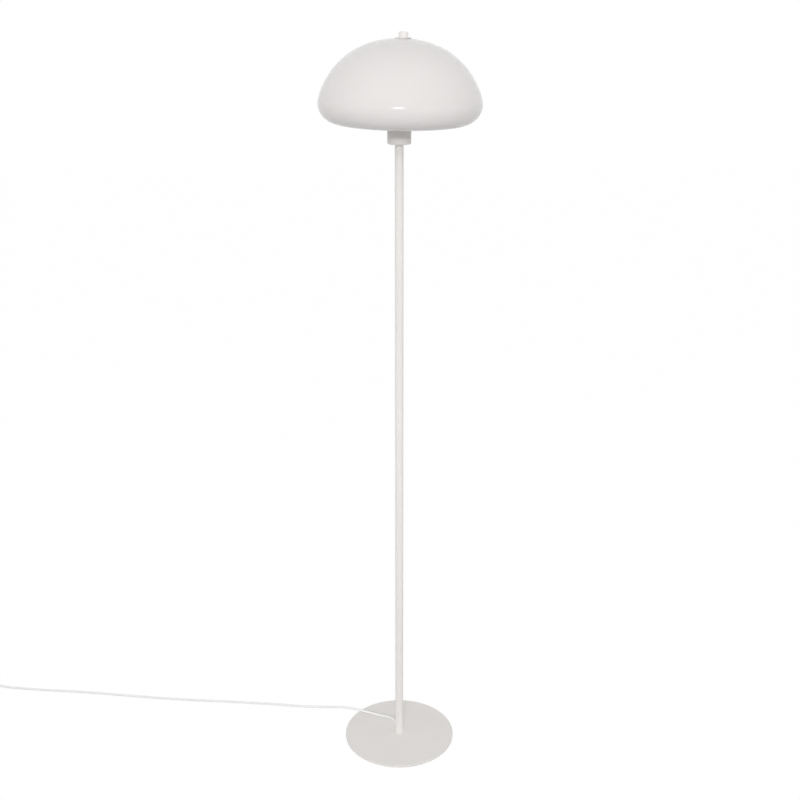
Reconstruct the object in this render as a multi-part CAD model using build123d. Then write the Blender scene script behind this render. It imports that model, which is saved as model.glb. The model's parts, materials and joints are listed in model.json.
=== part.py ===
from build123d import *
import os
from math import asin, cos, degrees, hypot, pi, radians, sin, sqrt, tan

# A mushroom floor lamp. An opal dome shade is clamped by its crown on a wire harp, over a bulb in a
# metal cup, on top of a slim two-piece pole that is bolted to a flat round base. The mains cord leaves
# the pole's foot at the back left, passes through an in-line foot switch and ends in a flat plug.
#
# Millimetres, +Z up. The origin is the centre of the base's underside, on the floor. +X points to the
# right of someone who faces the lamp, and the lamp's front faces -Y.

# ------------------------------------------------------------------------------------- clearances
TUBE_FIT = 0.05  # radial, an insert in its tube
BOLT_FIT = 0.15  # radial, a screw or nipple in a plain hole
THREAD_FIT = 0.05  # radial, a screw, nipple or stud in its thread
CORD_FIT = 0.05  # radial, a cord in a hole that grips it
GUIDE_FIT = 0.10  # radial, a sliding piece in its guide
REST_GAP = 0.05  # a moving piece above the seat that it rests on
SCREW_GAP = 0.35  # radial, a bulb's cap in its screw shell
SAME_LEVEL = 0.01  # how far off a level the centre of an edge at that level may lie

# ------------------------------------------------------------------------------------------- base
BASE_D = 250.0
BASE_T = 4.5
BASE_EDGE_R = 1.0
PAD_T = 1.0
PAD_INSET = 4.0  # from the base's rim to the pad's
BOLT_D = 8.0
BOLT_HEAD_D = 15.0  # countersunk at 90 degrees
BOLT_L = 15.0
BOLT_SOCKET = 5.0  # across flats
BOLT_SOCKET_DEPTH = 2.6

# ------------------------------------------------------------------------------------------- pole
POLE_D = 18.0
POLE_WALL = 1.2
POLE_LOWER_L = 685.0
POLE_UPPER_L = 685.0
FOOT_INSERT_H = 12.0
COUPLER_L = 50.0
COUPLER_BORE = 10.0
TOP_INSERT_H = 14.0

# ------------------------------------------------------------- nipple, collar, cup and bulb holder
NIPPLE_D = 10.0
NIPPLE_BORE = 7.0
NIPPLE_GRIP = 12.0  # how far it is screwed into the pole's top
COLLAR_D = 16.0
COLLAR_H = 4.5
CUP_D = 48.5
CUP_H = 58.0
CUP_WALL = 1.2
CUP_EDGE_R = 2.0
NUT_AF = 14.0
NUT_H = 3.0
HOLDER_D = 38.6
HOLDER_WALL = 2.5
HOLDER_ENTRY_D = 16.0
HOLDER_ENTRY_H = 4.0
HOLDER_ENTRY_GRIP = 7.0  # how far the nipple is screwed into the holder
HOLDER_CONE_H = 8.0
HOLDER_CAP_H = 18.0
HOLDER_CAP_WALL = 3.3
CORE_H = 14.0
SHELL_BORE = 27.1
SHELL_WALL = 0.4
SHELL_H = 20.0
CONTACT_T = 0.5
CONTACT_W = 5.0
CONTACT_L = 16.0
CONTACT_RISE = 2.0
TERMINAL_D = 3.5
TERMINAL_L = 9.0
TERMINAL_SPACING = 16.0
RETAINER_D = 50.0
RETAINER_H = 6.0
RETAINER_FLUTES = 20
RETAINER_FLUTE_R = 1.2
HOLDER_ABOVE_RETAINER = 1.5

# ------------------------------------------------------------------------------------------- bulb
EYELET_D = 9.0
EYELET_H = 1.6
BULB_CAP_H = 26.0
BULB_TIP_H = 5.0  # the black cone under the cap's thread
BULB_TIP_D = 16.0
BULB_NECK_H = 5.0
BULB_NECK_R = 30.0  # the hollow curve from the neck to the globe
BULB_D = 60.0
BULB_WALL = 1.0

# --------------------------------------------------------------------------------- harp and crown
HARP_RING_D = 66.0
HARP_RING_T = 2.0
HARP_WIRE_D = 4.0
HARP_FOOT_SPAN = 59.0  # between the wires where they stand in the ring
HARP_FOOT_H = 14.0
HARP_SPAN = 86.0  # between the wires beside the bulb
HARP_FLARE_H = 30.0
HARP_FOOT_R = 12.0
HARP_SHOULDER_R = 24.0
HARP_SOCKET_DEPTH = 3.0  # of a wire's end in the hub
HUB_D = 14.0
HUB_H = 10.0
STUD_D = 10.0
SEAT_WASHER_D = 36.0
SEAT_WASHER_T = 1.5
SEAT_PAD_D = 34.0
SEAT_PAD_T = 1.0

# How the crown stands out of true in the photograph: the harp's top is to the right of the pole, the
# shade leans that way a little, and it hangs back to the left in its wide hole.
HARP_SHIFT = 8.4
SHADE_TILT = 0.8  # degrees
SHADE_SLIP = 4.7

# ------------------------------------------------------------------------------------------ shade
SHADE_D = 331.0
SHADE_RISE = 150.0  # from the cup's top to the shade's
SHADE_WIDEST = 127.0  # from the crown down to the widest place
SHADE_ROLL_R = 40.0  # the tight curve that turns in to the mouth
SHADE_CROWN_ANGLE = 16.0  # degrees off level where the crown's arc meets the flank's
SHADE_FLANK_ANGLE = 74.5  # degrees off level where the flank's arc meets the roll's
SHADE_WALL = 3.0
SHADE_HOLE_D = 19.6

# ----------------------------------------------------------------------------------------- finial
FINIAL_WASHER_D = 32.0
FINIAL_WASHER_T = 1.5
FINIAL_D = 18.8
FINIAL_H = 10.7
FINIAL_EDGE_R = 1.2
FINIAL_BORE_DEPTH = 9.0
STUD_TIP_GAP = 0.6  # above the stud, in the finial's bore

# ------------------------------------------------------------------------------------- mains cord
CORD_D = 5.0
CORD_LIFT = 0.1  # keeps the cord's round side just clear of what it lies on
EXIT_H = 18.0  # above the base's top
EXIT_ANGLE = 122.0  # degrees from +X, seen from above
BUSHING_D = 8.0
BUSHING_FLANGE_D = 11.0
BUSHING_FLANGE_T = 1.5
BUSHING_TAIL = 1.5  # inside the pole's wall
CABLE_BEND_R = 6.5
ARC_SHARE = 0.45  # of the shorter run, taken by the arc at a corner of the cord's route

# ------------------------------------------------------------------------------------ foot switch
SWITCH_X = -1084.0
SWITCH_Y = 188.0
SWITCH_L = 84.0
SWITCH_W = 54.0
SWITCH_TRAY_H = 10.0
SWITCH_COVER_H = 14.0
SWITCH_WALL = 2.0
SWITCH_CROWN_R = 7.0  # the rounding of the cover's top edge
SWITCH_FOOT_R = 1.5
SWITCH_CORD_Z = 7.0
BUTTON_D = 24.0
BUTTON_FLANGE_D = 28.0
BUTTON_FLANGE_T = 1.6
BUTTON_RISE = 4.5  # above the cover
BUTTON_TRAVEL = 3.0
BUTTON_WALL = 2.0
BUTTON_EDGE_R = 1.8
BUTTON_SKIRT = 2.5  # below the flange
BLOCK_L = 34.0
BLOCK_W = 20.0
BLOCK_H = 9.0
PLUNGER_D = 4.0
PLUNGER_GRIP = 3.6  # how far it reaches into the block at rest
SPRING_D = 10.0  # across the middle of the wire
SPRING_WIRE_D = 0.9
SPRING_TURNS = 5
SPRING_END_GAP = 0.3
TERMINAL_BLOCK = 5.0  # the side of a switch terminal
CLAMP_L = 4.0
CLAMP_W = 14.0
CLAMP_T = 2.0
SWITCH_SCREW_D = 3.0
SWITCH_SCREW_HEAD_D = 5.6
SWITCH_SCREW_L = 14.0
SWITCH_SCREW_SPACING = 40.0
SWITCH_BOSS_D = 7.0
SLEEVE_L = 24.0
SLEEVE_GRIP = 5.0  # inside the switch's wall
SLEEVE_TIP_WALL = 0.9
SLEEVE_ROOT_WALL = 2.2
SLEEVE_RINGS = 4
SLEEVE_RING_W = 1.4
SLEEVE_RING_DEPTH = 0.6

# ------------------------------------------------------------------------------------------- coil
COIL_X = -1196.0
COIL_Y = 226.4
COIL_TURNS_A_LAYER = 3
COIL_MIDDLE_R = 30.0
COIL_SPACING = 5.6  # from the middle of one turn to the next, along or up
KNOTS_A_TURN = 4
DIRECTION_STEP = 0.01  # turns, for the coil's direction at a knot
GAP_STEP = 1.5  # between the points that the coil's least gap is measured on

# ------------------------------------------------------------------------------------------- plug
PLUG_X = -1131.0  # the plug's back face, where its sleeve ends
PLUG_OFFSET = 1.2  # how far the plug lies off the line of the coil's end
PLUG_W = 35.0
PLUG_T = 13.7
PLUG_L = 36.0
PLUG_NOSE_L = 16.0  # the straight front part
PLUG_BACK_W = 16.0
PLUG_BACK_T = 11.0
PLUG_CORNER_R = 5.2
PIN_D = 4.0
PIN_CORE_D = 3.0  # inside its plastic sleeve
PIN_L = 19.0
PIN_SPACING = 18.6
PIN_SLEEVE_L = 10.0
PIN_SLEEVE_D = 3.8
PIN_ROOT = 6.0  # inside the plug

# ------------------------------------------------------------------------ levels, from those sizes
BASE_TOP = PAD_T + BASE_T
SEAM_Z = BASE_TOP + POLE_LOWER_L
POLE_TOP = SEAM_Z + POLE_UPPER_L
CUP_Z = POLE_TOP + COLLAR_H
CUP_TOP = CUP_Z + CUP_H
SHADE_CROWN_Z = CUP_TOP + SHADE_RISE
NUT_Z = CUP_Z + CUP_WALL
HOLDER_Z = NUT_Z + NUT_H
CORE_Z = HOLDER_Z + HOLDER_CAP_H
SHELL_Z = CORE_Z + CORE_H
RETAINER_Z = CUP_TOP + HARP_RING_T
HOLDER_TOP = RETAINER_Z + RETAINER_H + HOLDER_ABOVE_RETAINER
BULB_Z = SHELL_Z + CONTACT_RISE + CONTACT_T + REST_GAP
EXIT_Z = BASE_TOP + EXIT_H
POLE_BORE_R = POLE_D / 2 - POLE_WALL
EXIT_REACH = POLE_D / 2 + BUSHING_FLANGE_T
FLOOR_CORD_Z = CORD_D / 2 + CORD_LIFT
BASE_CORD_Z = BASE_TOP + FLOOR_CORD_Z
COIL_TOP_Z = FLOOR_CORD_Z + COIL_SPACING
COIL_OUTER_R = COIL_MIDDLE_R + COIL_SPACING * (COIL_TURNS_A_LAYER + 0.25) / 2
SWITCH_RIGHT = SWITCH_X + SWITCH_L / 2 - SLEEVE_GRIP + SLEEVE_L
SWITCH_LEFT = SWITCH_X - SWITCH_L / 2 + SLEEVE_GRIP - SLEEVE_L
COVER_TOP = SWITCH_TRAY_H + SWITCH_COVER_H
PLUG_CORD_Z = PLUG_T / 2
COIL_END_Y = COIL_Y + COIL_OUTER_R
PLUG_Y = COIL_END_Y + PLUG_OFFSET

# The cord's route over the base and the floor, chosen by eye along the photograph's cord.
EXIT_DIRECTION = Vector(cos(radians(EXIT_ANGLE)), sin(radians(EXIT_ANGLE)), 0)
EXIT_POINT = EXIT_DIRECTION * EXIT_REACH + Vector(0, 0, EXIT_Z)
FLOOR_ROUTE = [
    EXIT_POINT,
    EXIT_POINT + EXIT_DIRECTION * 13.5,
    (-25.0, 38.5, EXIT_Z - 4.5),
    (-43.0, 54.0, BASE_CORD_Z + 3.0),
    (-79.0, 74.0, BASE_CORD_Z + 0.6),
    (-126.0, 91.0, BASE_CORD_Z + 0.8),
    (-182.0, 101.5, FLOOR_CORD_Z),
    (-232.0, 102.8, FLOOR_CORD_Z),
    (-298.0, 111.6, FLOOR_CORD_Z),
    (-360.0, 117.8, FLOOR_CORD_Z),
    (-428.0, 123.6, FLOOR_CORD_Z),
    (-490.0, 128.3, FLOOR_CORD_Z),
    (-556.0, 134.2, FLOOR_CORD_Z),
    (-618.0, 141.0, FLOOR_CORD_Z),
    (-686.0, 150.2, FLOOR_CORD_Z),
    (-748.0, 159.1, FLOOR_CORD_Z),
    (-814.0, 166.0, FLOOR_CORD_Z),
    (-872.0, 170.7, FLOOR_CORD_Z),
    (-936.0, 177.6, FLOOR_CORD_Z),
    (-988.0, 184.9, FLOOR_CORD_Z + 0.2),
    (SWITCH_RIGHT + 18.0, SWITCH_Y, SWITCH_CORD_Z),
    (SWITCH_RIGHT, SWITCH_Y, SWITCH_CORD_Z),
]
LINK_ROUTE = [
    (SWITCH_LEFT, SWITCH_Y, SWITCH_CORD_Z),
    (SWITCH_LEFT - 10.0, SWITCH_Y, SWITCH_CORD_Z),
    (SWITCH_LEFT - 26.0, COIL_Y - COIL_OUTER_R, FLOOR_CORD_Z),
    (COIL_X + CORD_D, COIL_Y - COIL_OUTER_R, FLOOR_CORD_Z),
]
TAIL_ROUTE = [
    (COIL_X + CORD_D, COIL_END_Y, COIL_TOP_Z),
    (COIL_X + 14.0, COIL_END_Y, COIL_TOP_Z),
    (PLUG_X - SLEEVE_L - 10.0, PLUG_Y, PLUG_CORD_Z),
    (PLUG_X - SLEEVE_L, PLUG_Y, PLUG_CORD_Z),
]

UPWARD = (Align.CENTER, Align.CENTER, Align.MIN)


# -------------------------------------------------------------------------------------- basic forms
def disc(diameter, low, high):
    """An upright cylinder between two levels."""
    return Pos(0, 0, low) * Cylinder(diameter / 2, high - low, align=UPWARD)


def pipe(diameter, bore, low, high):
    """An upright tube between two levels."""
    return disc(diameter, low, high) - disc(bore, low, high)


def hexagon(across_flats, low, high):
    """An upright hexagonal prism between two levels."""
    sketch = RegularPolygon(across_flats / 2, 6, major_radius=False)
    return Pos(0, 0, low) * extrude(sketch, high - low)


def turned(profile):
    """A turned form from a half profile drawn in X (radius) and Y (height)."""
    return Rot(90, 0, 0) * revolve(profile, axis=Axis.Y)


def round_rod(path, diameter):
    """A round wire or cord along a path."""
    start = Plane(origin=path @ 0, z_dir=path % 0)
    return sweep(start * Circle(diameter / 2), path=path)


def edges_at(shape, level):
    """All the edges of a shape at one level."""
    return shape.edges().filter_by(lambda edge: abs(edge.center().Z - level) < SAME_LEVEL)


def rims(shape, level):
    """The round edges of a shape at one level."""
    return edges_at(shape, level).filter_by(GeomType.CIRCLE)


def widest(edges):
    """The largest of some edges."""
    return edges.sort_by(SortBy.LENGTH)[-1]


# --------------------------------------------------------------------------------- base and its bolt
def countersunk(diameter, head, low, high):
    """A countersunk screw's outline, with the head's face at the low level."""
    cone = Pos(0, 0, low) * Cone(head / 2, diameter / 2, (head - diameter) / 2, align=UPWARD)
    return cone + disc(diameter, low, high)


def make_base_plate():
    plate = disc(BASE_D, PAD_T, BASE_TOP)
    plate = fillet(rims(plate, BASE_TOP), BASE_EDGE_R)
    return plate - countersunk(BOLT_D + 2 * BOLT_FIT, BOLT_HEAD_D + 2 * BOLT_FIT, PAD_T, BASE_TOP)


def make_base_pad():
    """The foam pad that is stuck under the plate and over the bolt's head."""
    return disc(BASE_D - 2 * PAD_INSET, 0, PAD_T)


def make_base_bolt():
    bolt = countersunk(BOLT_D, BOLT_HEAD_D, PAD_T, PAD_T + BOLT_L)
    return bolt - hexagon(BOLT_SOCKET, PAD_T, PAD_T + BOLT_SOCKET_DEPTH)


# --------------------------------------------------------------------------------------------- pole
def exit_hole(diameter, near, far):
    """A cylinder along the cord's way out of the pole, between two distances from the pole's axis."""
    outward = Plane(origin=(0, 0, EXIT_Z), z_dir=EXIT_DIRECTION)
    return outward * disc(diameter, near, far)


def make_pole_foot_insert():
    top = BASE_TOP + FOOT_INSERT_H
    return pipe(2 * (POLE_BORE_R - TUBE_FIT), BOLT_D + 2 * THREAD_FIT, BASE_TOP, top)


def make_pole_lower():
    return pipe(POLE_D, 2 * POLE_BORE_R, BASE_TOP, SEAM_Z) - exit_hole(BUSHING_D, 0, POLE_D)


def make_pole_coupler():
    outside = 2 * (POLE_BORE_R - TUBE_FIT)
    return pipe(outside, COUPLER_BORE, SEAM_Z - COUPLER_L / 2, SEAM_Z + COUPLER_L / 2)


def make_pole_upper():
    return pipe(POLE_D, 2 * POLE_BORE_R, SEAM_Z, POLE_TOP)


def make_pole_top_insert():
    outside = 2 * (POLE_BORE_R - TUBE_FIT)
    return pipe(outside, NIPPLE_D + 2 * THREAD_FIT, POLE_TOP - TOP_INSERT_H, POLE_TOP)


def make_cord_bushing():
    flange = exit_hole(BUSHING_FLANGE_D, POLE_D / 4, EXIT_REACH) - disc(POLE_D, BASE_TOP, SEAM_Z)
    neck = exit_hole(BUSHING_D - 2 * TUBE_FIT, POLE_BORE_R - BUSHING_TAIL, EXIT_REACH)
    return flange + neck - exit_hole(CORD_D + 2 * CORD_FIT, 0, EXIT_REACH)


def make_pole_cable():
    """The cord inside the pole: in through the bushing, round a tight bend and up to the holder."""
    corner = Vector(0, 0, EXIT_Z)
    top = Vector(0, 0, CORE_Z - TERMINAL_L / 2)
    return round_rod(FilletPolyline(EXIT_POINT, corner, top, radius=CABLE_BEND_R), CORD_D)


# --------------------------------------------------------------------------- cup and bulb holder
def make_nipple():
    top = HOLDER_Z + HOLDER_ENTRY_GRIP
    return pipe(NIPPLE_D, NIPPLE_BORE, POLE_TOP - NIPPLE_GRIP, top)


def make_collar():
    return pipe(COLLAR_D, NIPPLE_D + 2 * BOLT_FIT, POLE_TOP, CUP_Z)


def make_cup():
    outside = disc(CUP_D, CUP_Z, CUP_TOP)
    inside = disc(CUP_D - 2 * CUP_WALL, CUP_Z + CUP_WALL, CUP_TOP)
    outside = fillet(rims(outside, CUP_Z), CUP_EDGE_R)
    inside = fillet(rims(inside, CUP_Z + CUP_WALL), CUP_EDGE_R - CUP_WALL)
    return outside - inside - disc(NIPPLE_D + 2 * BOLT_FIT, CUP_Z, CUP_TOP)


def make_cup_nut():
    return hexagon(NUT_AF, NUT_Z, NUT_Z + NUT_H) - disc(NIPPLE_D + 2 * THREAD_FIT, NUT_Z, NUT_Z + NUT_H)


def make_holder_cap():
    """The holder's lower half: a threaded entry that widens in a cone to the skirt."""
    hole = NIPPLE_D / 2 + THREAD_FIT
    entry = HOLDER_ENTRY_D / 2
    skirt = HOLDER_D / 2
    inside = skirt - HOLDER_CAP_WALL
    cone_top = HOLDER_ENTRY_H + HOLDER_CONE_H
    outline = Polyline(
        (hole, 0),
        (entry, 0),
        (entry, HOLDER_ENTRY_H),
        (skirt, cone_top),
        (skirt, HOLDER_CAP_H),
        (inside, HOLDER_CAP_H),
        (inside, cone_top + HOLDER_CAP_WALL / 2),
        (hole, HOLDER_ENTRY_GRIP),
        (hole, 0),
    )
    return Pos(0, 0, HOLDER_Z) * turned(make_face(outline))


def make_holder_body():
    return pipe(HOLDER_D, HOLDER_D - 2 * HOLDER_WALL, CORE_Z, HOLDER_TOP)


def terminal_places():
    """Where the holder's two terminal screws stand."""
    return [Pos(side * TERMINAL_SPACING / 2, 0, 0) for side in (-1, 1)]


def make_holder_core():
    """The insulating block that carries the contacts, the screw shell and the terminals."""
    core = disc(HOLDER_D - 2 * HOLDER_WALL - 2 * TUBE_FIT, CORE_Z, SHELL_Z)
    for place in terminal_places():
        core -= place * disc(TERMINAL_D, CORE_Z, CORE_Z + TERMINAL_L / 2)
    return core


def make_holder_terminals():
    return Compound([place * disc(TERMINAL_D, CORE_Z - TERMINAL_L / 2, CORE_Z + TERMINAL_L / 2)
                     for place in terminal_places()])


def make_screw_shell():
    return pipe(SHELL_BORE + 2 * SHELL_WALL, SHELL_BORE, SHELL_Z, SHELL_Z + SHELL_H)


def make_centre_contact():
    """A bent brass strip whose raised tongue meets the bulb's eyelet."""
    strip = Polyline(
        (-CONTACT_L / 2, 0),
        (-CONTACT_L / 4, 0),
        (0, CONTACT_RISE),
        (CONTACT_L / 4, CONTACT_RISE),
        (CONTACT_L / 4, CONTACT_RISE + CONTACT_T),
        (-CONTACT_T / 2, CONTACT_RISE + CONTACT_T),
        (-CONTACT_L / 4 - CONTACT_T / 2, CONTACT_T),
        (-CONTACT_L / 2, CONTACT_T),
        (-CONTACT_L / 2, 0),
    )
    strip = Plane.XZ * make_face(strip)
    return Pos(0, 0, SHELL_Z) * extrude(strip, CONTACT_W / 2, both=True)


def make_retaining_ring():
    """The fluted ring that screws down on the harp's ring and holds cup, harp and holder together."""
    top = RETAINER_Z + RETAINER_H
    ring = pipe(RETAINER_D, HOLDER_D + 2 * THREAD_FIT, RETAINER_Z, top)
    ring = chamfer(widest(rims(ring, top)), RETAINER_FLUTE_R / 2)
    for turn in range(RETAINER_FLUTES):
        flute = Pos(RETAINER_D / 2, 0, 0) * disc(2 * RETAINER_FLUTE_R, RETAINER_Z, top)
        ring -= Rot(0, 0, 360 / RETAINER_FLUTES * turn) * flute
    return ring


# --------------------------------------------------------------------------------------------- bulb
def make_bulb_contact():
    return disc(EYELET_D, BULB_Z, BULB_Z + EYELET_H)


def make_bulb_cap():
    """The screw cap, with the insulating cone that narrows to the eyelet."""
    wide = SHELL_BORE / 2 - SCREW_GAP
    outline = Polyline(
        (0, EYELET_H),
        (BULB_TIP_D / 2, EYELET_H),
        (wide, BULB_TIP_H),
        (wide, BULB_CAP_H),
        (0, BULB_CAP_H),
        (0, EYELET_H),
    )
    return Pos(0, 0, BULB_Z) * turned(make_face(outline))


def make_bulb_globe():
    """The opal globe: a straight neck, a hollow curve and most of a ball, all one thin wall."""
    neck = SHELL_BORE / 2 - SCREW_GAP
    ball = BULB_D / 2
    hollow = Vector(neck + BULB_NECK_R, BULB_CAP_H + BULB_NECK_H)
    ball_height = sqrt((ball + BULB_NECK_R) ** 2 - hollow.X**2)
    centre = Vector(0, hollow.Y + ball_height)
    joint_angle = degrees(asin(ball_height / (ball + BULB_NECK_R)))

    def side(inset):
        straight = Line((neck - inset, BULB_CAP_H), (neck - inset, hollow.Y))
        curve = CenterArc(hollow, BULB_NECK_R + inset, 180, -joint_angle)
        round_top = CenterArc(centre, ball - inset, -joint_angle, 90 + joint_angle)
        return [straight, curve, round_top]

    outer = side(0)
    inner = side(BULB_WALL)
    foot = Line(outer[0] @ 0, inner[0] @ 0)
    crown = Line(outer[2] @ 1, inner[2] @ 1)
    return Pos(0, 0, BULB_Z) * turned(make_face(Curve() + outer + inner + [foot, crown]))


# --------------------------------------------------------------------------------------------- shade
def shade_arcs():
    """The centres and radii of the crown's, the flank's and the roll's arcs, from the crown's top.

    The three arcs meet smoothly at the two named angles. The crown's centre lies on the axis, and the
    roll's is set by the shade's width and its widest level, which leaves two radii to solve for.
    """
    first, second = radians(SHADE_CROWN_ANGLE), radians(SHADE_FLANK_ANGLE)
    across = sin(first), sin(second) - sin(first), SHADE_D / 2 - SHADE_ROLL_R * (1 - sin(second))
    down = cos(first) - 1, cos(second) - cos(first), SHADE_ROLL_R * cos(second) - SHADE_WIDEST
    scale = across[0] * down[1] - across[1] * down[0]
    crown = (across[2] * down[1] - across[1] * down[2]) / scale
    flank = (across[0] * down[2] - across[2] * down[0]) / scale
    flank_centre = Vector((crown - flank) * sin(first), (crown - flank) * cos(first) - crown)
    roll_centre = Vector(SHADE_D / 2 - SHADE_ROLL_R, -SHADE_WIDEST)
    return (Vector(0, -crown), crown), (flank_centre, flank), (roll_centre, SHADE_ROLL_R)


(CROWN_CENTRE, CROWN_R), (FLANK_CENTRE, FLANK_R), (ROLL_CENTRE, ROLL_R) = shade_arcs()


def crown_drop(radius, inset):
    """How far the crown's surface, or one inset from it, lies below the shade's top at a radius."""
    return CROWN_R - sqrt((CROWN_R - inset) ** 2 - radius**2)


def make_shade():
    """The dome, from its crown hole over the flank to the mouth, where the lip is rounded off."""
    hole = SHADE_HOLE_D / 2

    def side(inset):
        start = 90 - degrees(asin(hole / (CROWN_R - inset)))
        crown_end = 90 - SHADE_CROWN_ANGLE
        flank_end = 90 - SHADE_FLANK_ANGLE
        return [
            CenterArc(CROWN_CENTRE, CROWN_R - inset, start, crown_end - start),
            CenterArc(FLANK_CENTRE, FLANK_R - inset, crown_end, flank_end - crown_end),
            CenterArc(ROLL_CENTRE, ROLL_R - inset, flank_end, -90 - flank_end),
        ]

    outer, inner = side(0), side(SHADE_WALL)
    lip_centre = ROLL_CENTRE - Vector(0, ROLL_R - SHADE_WALL / 2)
    lip = CenterArc(lip_centre, SHADE_WALL / 2, -90, -180)
    rim = Line(outer[0] @ 0, inner[0] @ 0)
    return turned(make_face(Curve() + outer + inner + [lip, rim]))


# ------------------------------------------------------------------- what is stacked at the crown
# Levels here are from the top of the shade's crown, along the harp's stud.
WASHER_LEVEL = REST_GAP - crown_drop(SHADE_HOLE_D / 2, 0)
FINIAL_LEVEL = WASHER_LEVEL + FINIAL_WASHER_T + REST_GAP
PAD_LEVEL = -crown_drop(SEAT_PAD_D / 2 + SHADE_SLIP, SHADE_WALL) - REST_GAP
HUB_LEVEL = PAD_LEVEL - SEAT_PAD_T - SEAT_WASHER_T
STUD_LEVEL = FINIAL_LEVEL + FINIAL_BORE_DEPTH - STUD_TIP_GAP
CROWN = Pos(HARP_SHIFT, 0, SHADE_CROWN_Z) * Rot(0, SHADE_TILT, 0)
WIRE_Z = SHADE_CROWN_Z + HUB_LEVEL - HUB_H / 2


def make_seat_pad():
    return CROWN * pipe(SEAT_PAD_D, STUD_D + 2 * BOLT_FIT, PAD_LEVEL - SEAT_PAD_T, PAD_LEVEL)


def make_seat_washer():
    top = PAD_LEVEL - SEAT_PAD_T
    return CROWN * pipe(SEAT_WASHER_D, STUD_D + 2 * BOLT_FIT, HUB_LEVEL, top)


def make_finial_washer():
    top = WASHER_LEVEL + FINIAL_WASHER_T
    washer = pipe(FINIAL_WASHER_D, STUD_D + 2 * BOLT_FIT, WASHER_LEVEL, top)
    return CROWN * fillet(widest(rims(washer, top)), FINIAL_WASHER_T / 3)


def make_finial():
    top = FINIAL_LEVEL + FINIAL_H
    knob = fillet(rims(disc(FINIAL_D, FINIAL_LEVEL, top), top), FINIAL_EDGE_R)
    bore = disc(STUD_D + 2 * THREAD_FIT, FINIAL_LEVEL, FINIAL_LEVEL + FINIAL_BORE_DEPTH)
    return CROWN * (knob - bore)


# --------------------------------------------------------------------------------------------- harp
def make_harp_leg(side):
    """One wire of the harp: up out of the ring, out past the bulb, and over to the hub."""
    foot = HARP_FOOT_SPAN / 2
    wide = HARP_SPAN / 2
    end = HARP_SHIFT + side * (HUB_D / 2 - HARP_SOCKET_DEPTH)
    shoulder = min(HARP_SHOULDER_R, abs(side * wide - end) - HARP_WIRE_D)
    points = [
        (side * foot, 0, CUP_TOP),
        (side * foot, 0, CUP_TOP + HARP_FOOT_H),
        (side * wide, 0, CUP_TOP + HARP_FOOT_H + HARP_FLARE_H),
        (side * wide, 0, WIRE_Z),
        (end, 0, WIRE_Z),
    ]
    radii = [HARP_FOOT_R, HARP_FOOT_R, shoulder]
    return round_rod(FilletPolyline(*points, radius=radii), HARP_WIRE_D)


def make_harp_ring():
    ring = pipe(HARP_RING_D, HOLDER_D + 2 * BOLT_FIT, CUP_TOP, RETAINER_Z)
    for side in (-1, 1):
        ring -= Pos(side * HARP_FOOT_SPAN / 2, 0, 0) * disc(HARP_WIRE_D, CUP_TOP, RETAINER_Z)
    return ring


def make_harp_hub(legs):
    """The turned hub, with the stud that the shade and the finial go on and a socket for each wire."""
    hub = disc(HUB_D, HUB_LEVEL - HUB_H, HUB_LEVEL) + disc(STUD_D, HUB_LEVEL, STUD_LEVEL)
    hub = CROWN * hub
    for leg in legs:
        hub -= leg
    return hub


# ------------------------------------------------------------------------------------- mains cord
def cord_path(name, points):
    """Straight runs joined by arcs, each as large as the shorter of its two runs allows."""
    points = [Vector(point) for point in points]
    runs = [after - before for before, after in zip(points, points[1:])]
    turns = [before.get_angle(after) for before, after in zip(runs, runs[1:])]
    shorter = [min(before.length, after.length) for before, after in zip(runs, runs[1:])]
    radii = [ARC_SHARE * run / tan(radians(turn) / 2) for run, turn in zip(shorter, turns)]
    print(f"{name}: arc radii", [round(radius) for radius in radii])
    return FilletPolyline(*points, radius=radii)


def fullness(cord, path):
    """A cord's volume over its section times its length."""
    return cord.volume / (pi * CORD_D**2 / 4 * path.length)


def make_cord(name, points):
    """A free stretch of the cord."""
    path = cord_path(name, points)
    cord = round_rod(path, CORD_D)
    print(f"{name}: length {path.length:.0f}, volume ratio {fullness(cord, path):.4f}")
    return cord


def coil_point(turn):
    """Where the coil's middle line is after some turns, clockwise from its front.

    The first layer spirals in at a steady rate and the second spirals out again at the same rate.
    The half turn in which the spiral reverses climbs gently from one to the other.
    """
    reversal = COIL_TURNS_A_LAYER + 0.25
    climb = min(max(turn - COIL_TURNS_A_LAYER, 0), 0.5) / 0.5
    radius = COIL_OUTER_R - COIL_SPACING * (reversal - abs(turn - reversal))
    angle = radians(-90 - 360 * turn)
    return Vector(
        COIL_X + radius * cos(angle),
        COIL_Y + radius * sin(angle),
        FLOOR_CORD_Z + COIL_SPACING * (1 - cos(pi * climb)) / 2,
    )


def coil_direction(turn, last):
    """The coil's direction after some turns, which is square to the radius at its two ends."""
    if turn in (0, last):
        angle = radians(-180 - 360 * turn)
        return Vector(cos(angle), sin(angle), 0)
    return (coil_point(turn + DIRECTION_STEP) - coil_point(turn - DIRECTION_STEP)).normalized()


def biarc(start, start_direction, end, end_direction):
    """Two arcs that meet smoothly and run from one point and direction to another."""
    chord = end - start
    both = start_direction + end_direction
    spread = 2 * (1 - start_direction.dot(end_direction))
    along = chord.dot(both)
    reach = (sqrt(along**2 + spread * chord.dot(chord)) - along) / spread
    near = start + start_direction * reach
    far = end - end_direction * reach
    middle = (near + far) * 0.5
    return [
        TangentArc(start, middle, tangent=start_direction),
        TangentArc(middle, end, tangent=far - near),
    ]


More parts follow.
